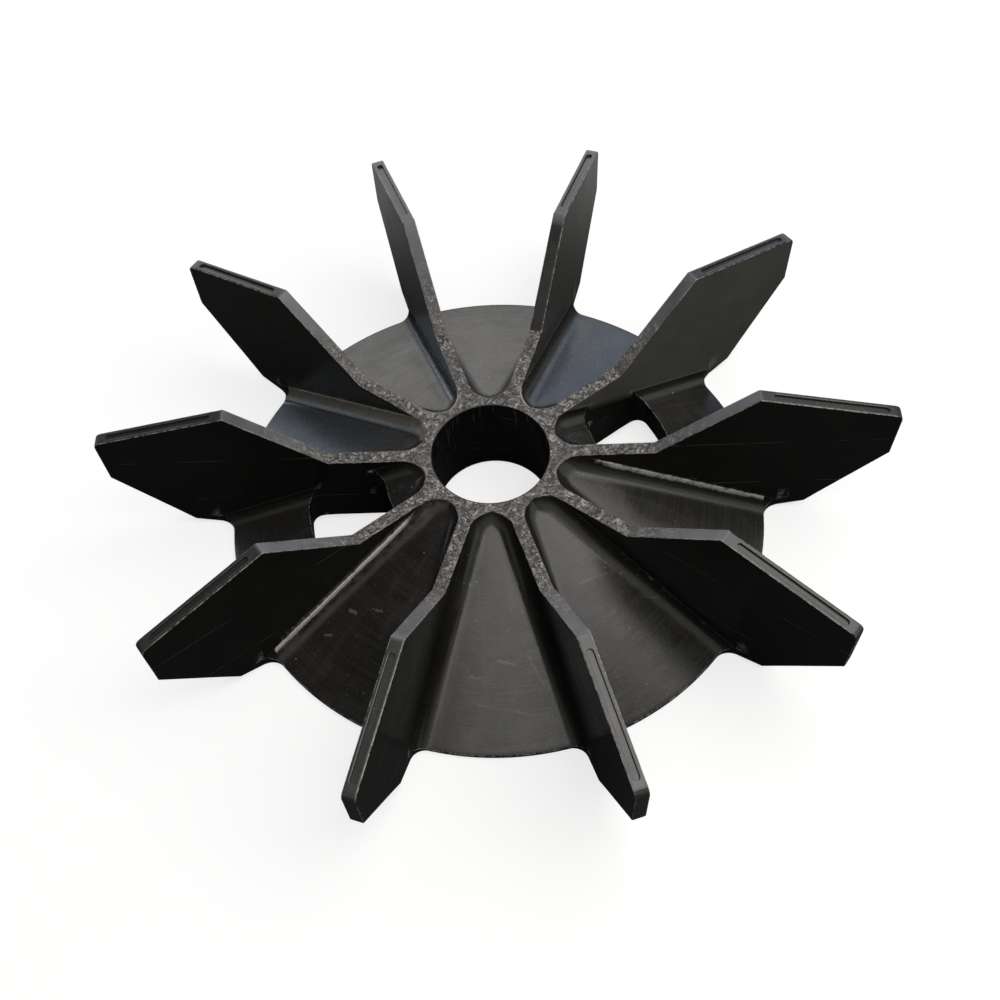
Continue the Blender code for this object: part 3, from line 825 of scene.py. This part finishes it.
def moulding():
    """The whole impeller as one closed mesh, with its masks for wear, painted sheen and painted highlights as
    attributes.
    """
    verts, faces, tags = whole_mesh()
    bm = bmesh.new()
    layers = [bm.verts.layers.float.new(name) for name in TAGS]
    made = [bm.verts.new(p) for p in verts]
    bm.verts.index_update()
    bm.verts.ensure_lookup_table()
    for f in faces:
        bm.faces.new([made[i] for i in f])
    pairs = bmesh.ops.find_doubles(bm, verts=bm.verts, dist=2e-6)["targetmap"]
    values = tags.copy()
    for v, w in pairs.items():
        values[w.index] = np.maximum(values[w.index], tags[v.index])
    for v, w in pairs.items():
        values[v.index] = values[w.index]
    for v in bm.verts:
        for layer, value in zip(layers, values[v.index]):
            v[layer] = float(value)
    bmesh.ops.weld_verts(bm, targetmap=pairs)
    bmesh.ops.dissolve_degenerate(bm, edges=bm.edges, dist=1e-7)
    bmesh.ops.recalc_face_normals(bm, faces=bm.faces)
    mesh = bpy.data.meshes.new("impeller_moulding")
    bm.to_mesh(mesh)
    bm.free()
    mesh.polygons.foreach_set("use_smooth", np.ones(len(mesh.polygons), dtype=bool))
    mesh.set_sharp_from_angle(angle=math.radians(50))
    obj = bpy.data.objects.new("impeller_moulding", mesh)
    bpy.context.scene.collection.objects.link(obj)
    shade = obj.modifiers.new("flat_faces_stay_flat", "WEIGHTED_NORMAL")
    shade.keep_sharp = True
    shade.weight = 50
    return obj


# ---------------------------------------------------------------- material
class Nodes:
    """Small helper that adds and links shader nodes."""

    def __init__(self, tree):
        self.tree = tree

    def put(self, socket, value):
        if isinstance(value, bpy.types.NodeSocket):
            self.tree.links.new(value, socket)
        elif value is not None:
            socket.default_value = value

    def node(self, kind, **settings):
        n = self.tree.nodes.new(kind)
        for name, value in settings.items():
            setattr(n, name, value)
        return n

    def math(self, op, a, b=None, c=None, clamp=False):
        n = self.node("ShaderNodeMath", operation=op, use_clamp=clamp)
        for i, v in enumerate((a, b, c)):
            self.put(n.inputs[i], v)
        return n.outputs[0]

    def add(self, a, b):
        return self.math("ADD", a, b)

    def mul(self, a, b):
        return self.math("MULTIPLY", a, b)

    def ramp(self, value, lo, hi, to_lo=0.0, to_hi=1.0, smooth=True):
        n = self.node("ShaderNodeMapRange", interpolation_type="SMOOTHSTEP" if smooth else "LINEAR")
        self.put(n.inputs["Value"], value)
        for name, v in (("From Min", lo), ("From Max", hi), ("To Min", to_lo), ("To Max", to_hi)):
            n.inputs[name].default_value = v
        return n.outputs["Result"]

    def noise(self, vector, scale, detail=4.0, rough=0.55, lac=2.0, distortion=0.0):
        n = self.node("ShaderNodeTexNoise")
        self.put(n.inputs["Vector"], vector)
        n.inputs["Scale"].default_value = scale
        n.inputs["Detail"].default_value = detail
        n.inputs["Roughness"].default_value = rough
        n.inputs["Lacunarity"].default_value = lac
        n.inputs["Distortion"].default_value = distortion
        return n.outputs["Fac"]

    def voronoi(self, vector, scale, feature="F1"):
        n = self.node("ShaderNodeTexVoronoi", feature=feature)
        self.put(n.inputs["Vector"], vector)
        n.inputs["Scale"].default_value = scale
        return n

    def vector(self, x, y, z):
        n = self.node("ShaderNodeCombineXYZ")
        for i, v in enumerate((x, y, z)):
            self.put(n.inputs[i], v)
        return n.outputs[0]

    def mix(self, fac, a, b):
        n = self.node("ShaderNodeMix", data_type="RGBA", blend_type="MIX")
        self.put(n.inputs["Factor"], fac)
        self.put(n.inputs[6], a)
        self.put(n.inputs[7], b)
        return n.outputs[2]

    def attribute(self, name):
        return self.node("ShaderNodeAttribute", attribute_name=name).outputs["Fac"]


# Scuffs on the skirt: start and end in plan (mm), half-width (mm), strength. Negative is dark.
SCUFFS = (
    (-21.1, -67.2, -15.4, -70.4, 0.35, 0.9), (-31.8, -68.6, -27.8, -70.7, 0.22, 0.7),
    (-32.4, -77.5, -15.2, -86.5, 0.25, 0.55), (-10.9, -69.2, -10.2, -70.0, 0.45, 1.0),
    (-10.6, -70.5, -8.6, -79.0, 0.45, 0.6), (-18.4, -39.5, -13.2, -41.4, 0.30, -0.9),
    (-25.0, -51.7, -20.8, -53.3, 0.28, -0.8), (-35.3, -65.0, -32.4, -66.1, 0.28, -0.9),
    (-41.6, -79.6, -37.7, -81.0, 0.28, -0.7), (14.4, -52.1, 24.8, -50.9, 0.30, 0.55),
    (34.3, -51.6, 41.1, -53.4, 0.28, 0.5), (35.1, -61.0, 42.4, -63.3, 0.35, 0.5),
    (-64.0, -31.1, -62.4, -33.0, 0.6, 0.9), (-55.7, -35.3, -53.6, -36.8, 0.4, 0.8),
    (-75.0, -34.8, -72.8, -36.0, 0.4, 0.8),
)


def plastic():
    mat = bpy.data.materials.new("black_moulded_plastic")
    mat.use_nodes = True
    tree = mat.node_tree
    tree.nodes.clear()
    N = Nodes(tree)
    out = N.node("ShaderNodeOutputMaterial")
    shader = N.node("ShaderNodeBsdfPrincipled")
    tree.links.new(shader.outputs[0], out.inputs[0])
    coords = N.node("ShaderNodeTexCoord")
    here = coords.outputs["Object"]
    split = N.node("ShaderNodeSeparateXYZ")
    tree.links.new(here, split.inputs[0])
    x, y, z = split.outputs
    facing = N.node("ShaderNodeSeparateXYZ")
    tree.links.new(coords.outputs["Normal"], facing.inputs[0])
    up = facing.outputs[2]
    radius = N.math("SQRT", N.add(N.mul(x, x), N.mul(y, y)))
    angle = N.math("ARCTAN2", y, x)

    edge = N.ramp(N.attribute("worn_edge"), 0.46, 0.95)
    root = N.attribute("root_fillet")
    top = N.attribute("grained_top")
    skirt = N.attribute("skirt_top")
    tip = N.attribute("blade_edge")
    ledge_mask = N.attribute("root_ledge")
    root_rub_and_highlight = N.attribute("root_rub_and_highlight")
    hub_arc_highlight = N.attribute("hub_arc_highlight")
    painted_face_sheen = N.attribute("face_painted_sheen")

    # ---- patterns, in metres
    cloud = N.noise(here, 22.0, 3.0, 0.5)
    patch = N.noise(here, 75.0, 4.0, 0.6, distortion=0.4)
    blotch = N.noise(here, 260.0, 4.0, 0.65, distortion=0.6)
    fine = N.noise(here, 900.0, 3.0, 0.6)
    # rings left by the mould's turning tool on the skirt, slightly broken along their length
    rings_at = N.vector(N.mul(radius, 1500.0), N.mul(angle, 3.0), 0.0)
    rings = N.noise(rings_at, 1.0, 3.0, 0.65)
    wide_rings = N.noise(N.vector(N.mul(radius, 420.0), N.mul(angle, 2.2), 3.7), 1.0, 2.0, 0.5)
    # flow marks that run out from the hub
    flow = N.noise(N.vector(N.mul(radius, 30.0), N.mul(angle, 26.0), 1.3), 1.0, 3.0, 0.6, distortion=0.6)
    # draw marks along the blades
    draw_at = N.vector(N.mul(radius, 45.0), N.mul(angle, 9.0), N.mul(z, 420.0))
    draw = N.noise(draw_at, 1.0, 4.0, 0.6)
    # short handling scratches in two directions
    scratch_a = N.noise(N.vector(N.mul(N.add(x, y), 60.0), N.mul(N.math("SUBTRACT", x, y), 900.0), N.mul(z, 300.0)), 1.0, 2.0, 0.5)
    scratch_b = N.noise(N.vector(N.mul(x, 800.0), N.mul(y, 70.0), N.mul(z, 500.0)), 1.0, 2.0, 0.5)
    scratches = N.add(N.ramp(scratch_a, 0.70, 0.78), N.ramp(scratch_b, 0.72, 0.80))
    # specks of dust and small chips, sparse
    specks = N.ramp(N.noise(here, 1500.0, 1.0, 0.4), 0.765, 0.80)
    chips = N.ramp(N.noise(here, 420.0, 2.0, 0.5), 0.745, 0.775)
    # coarse wrinkled grain of the flat top: dark winding lines with pale flecks between them.
    # It goes on past the hub's edge and thins out along the sloping tops of the blades.
    along = N.ramp(radius, 0.056, 0.094, 1.0, 0.0)
    grain = N.math("MAXIMUM", top, N.mul(tip, along))
    worm_at = N.noise(here, 360.0, 2.0, 0.60, distortion=1.3)
    worms = N.ramp(N.math("ABSOLUTE", N.math("SUBTRACT", worm_at, 0.5)), 0.012, 0.050, 1.0, 0.0)
    lumps = N.noise(here, 520.0, 4.0, 0.66, distortion=1.0)
    flecks = N.ramp(lumps, 0.545, 0.615)
    grain_tone = N.math("MULTIPLY", N.ramp(lumps, 0.40, 0.58, 0.30, 1.0), N.math("SUBTRACT", 1.0, N.mul(worms, 0.80)))
    pale_flecks = N.math("MULTIPLY", flecks, N.math("SUBTRACT", 1.0, worms))

    # ---- witness lines of the mould's parting steps on the upright faces
    upright = N.ramp(N.math("ABSOLUTE", up), 0.10, 0.30, 1.0, 0.0)
    broken = N.ramp(N.noise(N.vector(N.mul(x, 34.0), N.mul(y, 34.0), N.mul(z, 9.0)), 1.0, 3.0, 0.7), 0.45, 0.56)
    far = N.ramp(radius, 0.046, 0.052)
    hair_lines = None
    for height in (0.0416, 0.0169):
        line_at = N.math("ABSOLUTE", N.math("SUBTRACT", z, height))
        mask = N.ramp(line_at, 0.00008, 0.00024, 1.0, 0.0)
        hair_lines = mask if hair_lines is None else N.math("MAXIMUM", hair_lines, mask)
    hair_lines = N.mul(N.mul(hair_lines, upright), N.mul(broken, far))

    # ---- scuffs on the skirt, wrinkled at their borders
    plan_at = N.node("ShaderNodeCombineXYZ")
    N.put(plan_at.inputs[0], N.mul(x, 1000.0))
    N.put(plan_at.inputs[1], N.mul(y, 1000.0))
    plan_at = plan_at.outputs[0]
    ragged = N.mul(N.math("SUBTRACT", N.noise(here, 1300.0, 3.0, 0.7), 0.5), 1.6)
    pale, dark = None, None
    for x0, y0, x1, y1, wide, strength in SCUFFS:
        dx, dy = x1 - x0, y1 - y0
        size = dx * dx + dy * dy
        rel = N.node("ShaderNodeVectorMath", operation="SUBTRACT")
        N.put(rel.inputs[0], plan_at)
        rel.inputs[1].default_value = (x0, y0, 0.0)
        along_it = N.node("ShaderNodeVectorMath", operation="DOT_PRODUCT")
        N.put(along_it.inputs[0], rel.outputs[0])
        along_it.inputs[1].default_value = (dx / size, dy / size, 0.0)
        t = N.math("ADD", along_it.outputs["Value"], 0.0, clamp=True)
        spot = N.node("ShaderNodeVectorMath", operation="SCALE")
        spot.inputs[0].default_value = (dx, dy, 0.0)
        N.put(spot.inputs["Scale"], t)
        gap = N.node("ShaderNodeVectorMath", operation="DISTANCE")
        N.put(gap.inputs[0], rel.outputs[0])
        N.put(gap.inputs[1], spot.outputs[0])
        d = N.add(gap.outputs["Value"], ragged)
        mask = N.ramp(d, wide * 0.35, wide * 1.5, abs(strength), 0.0)
        if strength > 0:
            pale = mask if pale is None else N.math("MAXIMUM", pale, mask)
        else:
            dark = mask if dark is None else N.math("MAXIMUM", dark, mask)
    open_skirt = N.ramp(up, 0.6, 0.85)
    pale, dark = N.mul(pale, open_skirt), N.mul(dark, open_skirt)

    # ---- colour
    shade = N.ramp(N.add(N.mul(cloud, 0.6), N.mul(patch, 0.4)), 0.3, 0.7)
    base = N.mix(shade, (0.0085, 0.0081, 0.0074, 1), (0.015, 0.0142, 0.0128, 1))
    open_part = N.ramp(skirt, 0.80, 1.0)
    ring_mask = N.mul(open_part, N.ramp(N.add(N.mul(rings, 0.7), N.mul(wide_rings, 0.3)), 0.38, 0.66))
    base = N.mix(N.mul(ring_mask, 0.20), base, (0.043, 0.041, 0.039, 1))
    base = N.mix(N.mul(N.mul(skirt, N.ramp(flow, 0.50, 0.70)), 0.22), base, (0.050, 0.048, 0.045, 1))
    base = N.mix(N.mul(N.ramp(draw, 0.52, 0.72), 0.15), base, (0.030, 0.029, 0.026, 1))
    # painted shade: upright faces made darker than the rest
    base = N.mix(N.mul(upright, 0.5), base, (0.004, 0.004, 0.0038, 1))
    # painted sheen: the listed blade faces made paler
    base = N.mix(N.mul(painted_face_sheen, N.ramp(patch, 0.2, 0.7, 0.75, 1.0)), base, (0.085, 0.084, 0.073, 1))
    base = N.mix(N.mul(tip, 0.45), base, (0.060, 0.060, 0.060, 1))
    # painted light: the inner sloping tops made paler, by a strength set per blade
    painted_slope_light = N.math("MULTIPLY", N.ramp(radius, 0.056, 0.064), N.ramp(radius, 0.0915, 0.0935, 1.0, 0.0))
    painted_slope_light = N.mul(N.mul(tip, painted_slope_light), N.ramp(patch, 0.25, 0.7, 0.55, 1.0))
    base = N.mix(painted_slope_light, base, (0.135, 0.133, 0.138, 1))
    grain_cover = N.math("MULTIPLY", grain, N.ramp(N.add(grain, N.mul(N.math("SUBTRACT", blotch, 0.5), 1.6)), 0.25, 0.55))
    base = N.mix(N.mul(grain_cover, grain_tone), base, (0.190, 0.174, 0.164, 1))
    base = N.mix(N.mul(N.mul(grain_cover, pale_flecks), 0.62), base, (0.46, 0.432, 0.405, 1))
    wear = N.mul(edge, N.ramp(N.add(N.mul(blotch, 0.5), N.mul(fine, 0.5)), 0.42, 0.58))
    base = N.mix(N.mul(wear, 0.80), base, (0.34, 0.33, 0.32, 1))
    streaks = N.noise(here, 380.0, 4.0, 0.70, distortion=0.3)
    # pale strip along the root ledges, with a near-white core: partly rubbed wear, partly painted highlight
    rub_and_highlight = N.mul(ledge_mask, N.ramp(N.add(streaks, N.mul(ledge_mask, 0.80)), 0.92, 1.22))
    # brownish smear on some root fillets: partly rub marks, partly painted highlight
    smear_and_highlight = N.mul(root_rub_and_highlight, N.ramp(N.add(N.mul(blotch, 0.9), N.mul(root_rub_and_highlight, 0.55)), 0.55, 1.05))
    base = N.mix(N.mul(smear_and_highlight, 0.9), base, (0.165, 0.150, 0.128, 1))
    base = N.mix(rub_and_highlight, base, (0.40, 0.385, 0.36, 1))
    base = N.mix(N.ramp(rub_and_highlight, 0.75, 1.0, 0.0, 0.85), base, (0.74, 0.72, 0.69, 1))
    # painted highlight: pale arcs at the hub ends of the star's edge
    painted_hub_highlight = N.mul(hub_arc_highlight, N.ramp(N.add(N.mul(blotch, 0.8), N.mul(hub_arc_highlight, 0.4)), 0.45, 0.80))
    base = N.mix(painted_hub_highlight, base, (0.72, 0.70, 0.68, 1))
    facing_up = N.ramp(up, 0.15, 0.7, 0.02, 1.0)
    base = N.mix(N.mul(N.mul(N.math("MINIMUM", scratches, 1.0), facing_up), 0.13), base, (0.16, 0.155, 0.145, 1))
    base = N.mix(N.mul(N.mul(N.math("MAXIMUM", specks, chips), facing_up), 0.5), base, (0.30, 0.29, 0.27, 1))
    base = N.mix(N.mul(hair_lines, 0.40), base, (0.16, 0.15, 0.14, 1))
    base = N.mix(N.mul(pale, 0.30), base, (0.26, 0.255, 0.245, 1))
    base = N.mix(N.mul(dark, 0.4), base, (0.006, 0.006, 0.006, 1))
    # painted shade: the bore's wall made nearly black
    bore = N.ramp(radius, 0.0212, 0.0216, 1.0, 0.0)
    base = N.mix(N.mul(bore, 0.95), base, (0.004, 0.004, 0.004, 1))
    # marks in the bore: short upright scores below its top edge, which also carry a painted sheen that grows paler
    # towards the top, and two fine rings
    scores_and_sheen = N.ramp(N.noise(N.vector(N.mul(angle, 16.0), N.mul(z, 45.0), 5.0), 1.0, 3.0, 0.55), 0.60, 0.78)
    scores_and_sheen = N.mul(scores_and_sheen, N.ramp(z, 0.010, 0.036, 0.25, 1.0))
    turned = N.ramp(N.noise(N.vector(N.mul(angle, 1.6), N.mul(z, 1500.0), 2.0), 1.0, 2.0, 0.5), 0.68, 0.76)
    base = N.mix(N.mul(bore, N.mul(scores_and_sheen, 0.60)), base, (0.20, 0.185, 0.160, 1))
    base = N.mix(N.mul(bore, N.mul(turned, 0.35)), base, (0.18, 0.170, 0.155, 1))
    N.put(shader.inputs["Base Color"], base)

    # ---- gloss
    gloss = N.add(N.ramp(patch, 0.3, 0.7, 0.20, 0.28), N.mul(N.math("SUBTRACT", fine, 0.5), 0.10))
    gloss = N.add(gloss, N.mul(grain_cover, 0.12))
    gloss = N.add(gloss, N.mul(ring_mask, 0.06))
    gloss = N.add(gloss, N.mul(rub_and_highlight, 0.15))
    gloss = N.add(gloss, N.mul(painted_face_sheen, 0.15))
    gloss = N.add(gloss, N.mul(root, 0.03))
    gloss = N.add(gloss, N.mul(smear_and_highlight, 0.2))
    gloss = N.add(gloss, N.mul(painted_slope_light, 0.15))
    N.put(shader.inputs["Roughness"], N.math("MAXIMUM", gloss, 0.15))

    # ---- relief
    relief = N.mul(N.mul(N.math("SUBTRACT", N.mul(lumps, 2.2), worms), grain_cover), 0.00034)
    relief = N.add(relief, N.mul(N.mul(rings, open_part), 0.000011))
    relief = N.add(relief, N.mul(draw, 0.000010))
    relief = N.add(relief, N.mul(fine, 0.000014))
    relief = N.add(relief, N.mul(hair_lines, 0.00006))
    relief = N.add(relief, N.mul(N.mul(rub_and_highlight, streaks), 0.00010))
    bump = N.node("ShaderNodeBump")
    bump.inputs["Strength"].default_value = 1.0
    bump.inputs["Distance"].default_value = 1.0
    N.put(bump.inputs["Height"], relief)
    N.put(shader.inputs["Normal"], bump.outputs[0])
    shader.inputs["IOR"].default_value = 1.5
    shader.inputs["Specular IOR Level"].default_value = 0.5
    return mat


# ---------------------------------------------------------------- floor, lights, camera
TURN = math.radians(-15.10)       # the photograph's azimuths, turned to the model's
REACH = 0.141
HUB_TOP = Vector((0.0, 0.0, 0.0376))
FLOOR_GLOW = 0.72


def sheet(name, size, n, height, colours, rough, emission, far=None):
    bm = bmesh.new()
    grid = [[bm.verts.new((-size + 2 * size * i / n, -size + 2 * size * j / n, 0.0)) for j in range(n + 1)] for i in range(n + 1)]
    for i in range(n):
        for j in range(n):
            bm.faces.new((grid[i][j], grid[i + 1][j], grid[i + 1][j + 1], grid[i][j + 1]))
    mesh = bpy.data.meshes.new(name)
    bm.to_mesh(mesh)
    bm.free()
    obj = bpy.data.objects.new(name, mesh)
    bpy.context.scene.collection.objects.link(obj)
    obj.location = (0.0, 0.0, height)
    mat = bpy.data.materials.new(name + "_surface")
    mat.use_nodes = True
    tree = mat.node_tree
    tree.nodes.clear()
    N = Nodes(tree)
    out = N.node("ShaderNodeOutputMaterial")
    shader = N.node("ShaderNodeBsdfPrincipled")
    tree.links.new(shader.outputs[0], out.inputs[0])
    coords = N.node("ShaderNodeTexCoord").outputs["Object"]
    tone = N.mix(N.noise(coords, 3.0, 2.0), *colours)
    if far is not None:
        place = N.node("ShaderNodeSeparateXYZ")
        N.put(place.inputs[0], coords)
        behind = N.add(N.mul(place.outputs[0], -math.sin(TURN)), N.mul(place.outputs[1], math.cos(TURN)))
        tone = N.mix(N.ramp(behind, 0.10, 0.22), tone, far)
    N.put(shader.inputs["Base Color"], tone)
    N.put(shader.inputs["Roughness"], N.ramp(N.noise(coords, 40.0, 3.0), 0.3, 0.7, *rough))
    shader.inputs["Specular IOR Level"].default_value = 0.1
    shader.inputs["Emission Color"].default_value = (1.0, 1.0, 1.0, 1.0)
    shader.inputs["Emission Strength"].default_value = emission
    mesh.materials.append(mat)
    return obj


def floor():
    """The pale sheet that the camera sees, and the darker bench that the moulding sees: the
    photograph's upright faces are nearly black, so the floor in front didn't light them, and
    its back-facing fillets are pale, so the far part did."""
    pale = sheet("floor", 3.0, 24, -0.0002, ((0.31, 0.31, 0.31, 1), (0.33, 0.33, 0.33, 1)), (0.86, 0.95), FLOOR_GLOW)
    pale.visible_diffuse = False
    pale.visible_glossy = False
    pale.visible_shadow = False
    bench = sheet("bench", 3.0, 24, -0.0004, ((0.030, 0.030, 0.030, 1), (0.040, 0.040, 0.040, 1)), (0.6, 0.8), 0.0,
                  (0.55, 0.55, 0.55, 1))
    bench.visible_camera = False


def aim(obj, place, target):
    obj.location = place
    obj.rotation_euler = (Vector(target) - Vector(place)).to_track_quat("-Z", "Y").to_euler()


def area_light(name, place, target, width, height, power, colour=(1, 1, 1)):
    data = bpy.data.lights.new(name, "AREA")
    data.shape = "RECTANGLE"
    data.size, data.size_y = width, height
    data.energy = power
    data.color = colour
    obj = bpy.data.objects.new(name, data)
    bpy.context.scene.collection.objects.link(obj)
    aim(obj, Matrix.Rotation(TURN, 3, "Z") @ Vector(place), target)
    return obj


def lights():
    """Directions are the photograph's: azimuth -90 is the camera's side, 0 its right."""
    for name, az, el, dist, width, height, power, colour in (
            ("key_right", 10.0, 64.5, 1.2, 1.0, 1.02, 10.0, (1.0, 0.98, 0.95)),
            ("overhead", -90.0, 70.0, 1.2, 0.6, 0.6, 2.8, (1.0, 0.98, 0.95)),
            ("back_panel", 98.0, 12.0, 1.5, 1.3, 0.7, 5.2, (1.0, 0.985, 0.965)),
            ("back_blue", 63.0, 12.0, 1.5, 0.55, 0.7, 1.8, (0.66, 0.77, 1.0)),
            ("back_high", 90.0, 50.0, 1.3, 1.2, 0.6, 2.0, (1.0, 1.0, 1.0)),
            ("window_low", 132.0, 1.6, 1.4, 0.24, 0.11, 1.0, (0.68, 0.80, 1.0)),
            ("window", 132.0, 13.0, 1.4, 0.25, 0.4, 0.9, (0.72, 0.84, 1.0)),
            ("window_left", 160.0, 15.0, 1.4, 0.50, 0.50, 1.5, (0.78, 0.87, 1.0)),
            ("front_band", -90.0, 38.0, 1.5, 2.0, 0.9, 2.8, (1.0, 0.98, 0.95)),
            ("front_right", -8.0, 21.0, 1.5, 1.6, 1.1, 4.4, (0.97, 1.0, 0.97)),
            ("front_left", -152.0, 30.0, 1.5, 0.8, 0.5, 0.4, (1.0, 0.98, 0.95))):
        a, e = math.radians(az), math.radians(el)
        place = dist * Vector((math.cos(e) * math.cos(a), math.cos(e) * math.sin(a), math.sin(e)))
        area_light(name, place, HUB_TOP, width, height, power, colour)
    world = bpy.data.worlds.new("studio")
    bpy.context.scene.world = world
    world.use_nodes = True
    back = world.node_tree.nodes.get("Background") or world.node_tree.nodes.new("ShaderNodeBackground")
    back.inputs["Color"].default_value = (1.0, 1.0, 1.0, 1.0)
    back.inputs["Strength"].default_value = 0.035
    outs = [n for n in world.node_tree.nodes if n.type == "OUTPUT_WORLD"]
    o = outs[0] if outs else world.node_tree.nodes.new("ShaderNodeOutputWorld")
    world.node_tree.links.new(back.outputs[0], o.inputs[0])


def camera():
    el, dist = math.radians(55.73), 3.725 * REACH
    pan, tilt, roll = math.radians(-5.75), math.radians(-2.48), math.radians(-9.06)
    place = dist * Vector((0.0, -math.cos(el), math.sin(el)))
    e = el + tilt
    forward = Vector((math.sin(pan) * math.cos(e), math.cos(pan) * math.cos(e), -math.sin(e)))
    right = Vector((math.cos(pan), -math.sin(pan), 0.0))
    up = right.cross(forward)
    right2 = math.cos(roll) * right + math.sin(roll) * up
    up2 = -math.sin(roll) * right + math.cos(roll) * up
    axes = Matrix((right2, up2, -forward)).transposed()
    turn = Matrix.Rotation(TURN, 3, "Z")
    data = bpy.data.cameras.new("photo_camera")
    data.sensor_fit = "HORIZONTAL"
    data.sensor_width = 36.0
    data.lens = 1463.4 / 1000.0 * 36.0
    data.shift_x, data.shift_y = 0.102, -0.1
    data.clip_start, data.clip_end = 0.01, 20.0
    obj = bpy.data.objects.new("photo_camera", data)
    bpy.context.scene.collection.objects.link(obj)
    obj.matrix_world = Matrix.Translation(turn @ place + HUB_TOP) @ (turn @ axes).to_4x4()
    bpy.context.scene.camera = obj


camera()
lights()
floor()
piece = moulding()
piece.data.materials.append(plastic())
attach(piece, "root")
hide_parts("impeller")
view = bpy.context.scene.view_settings
view.view_transform = "Standard"
view.look = "None"
bpy.context.view_layer.update()
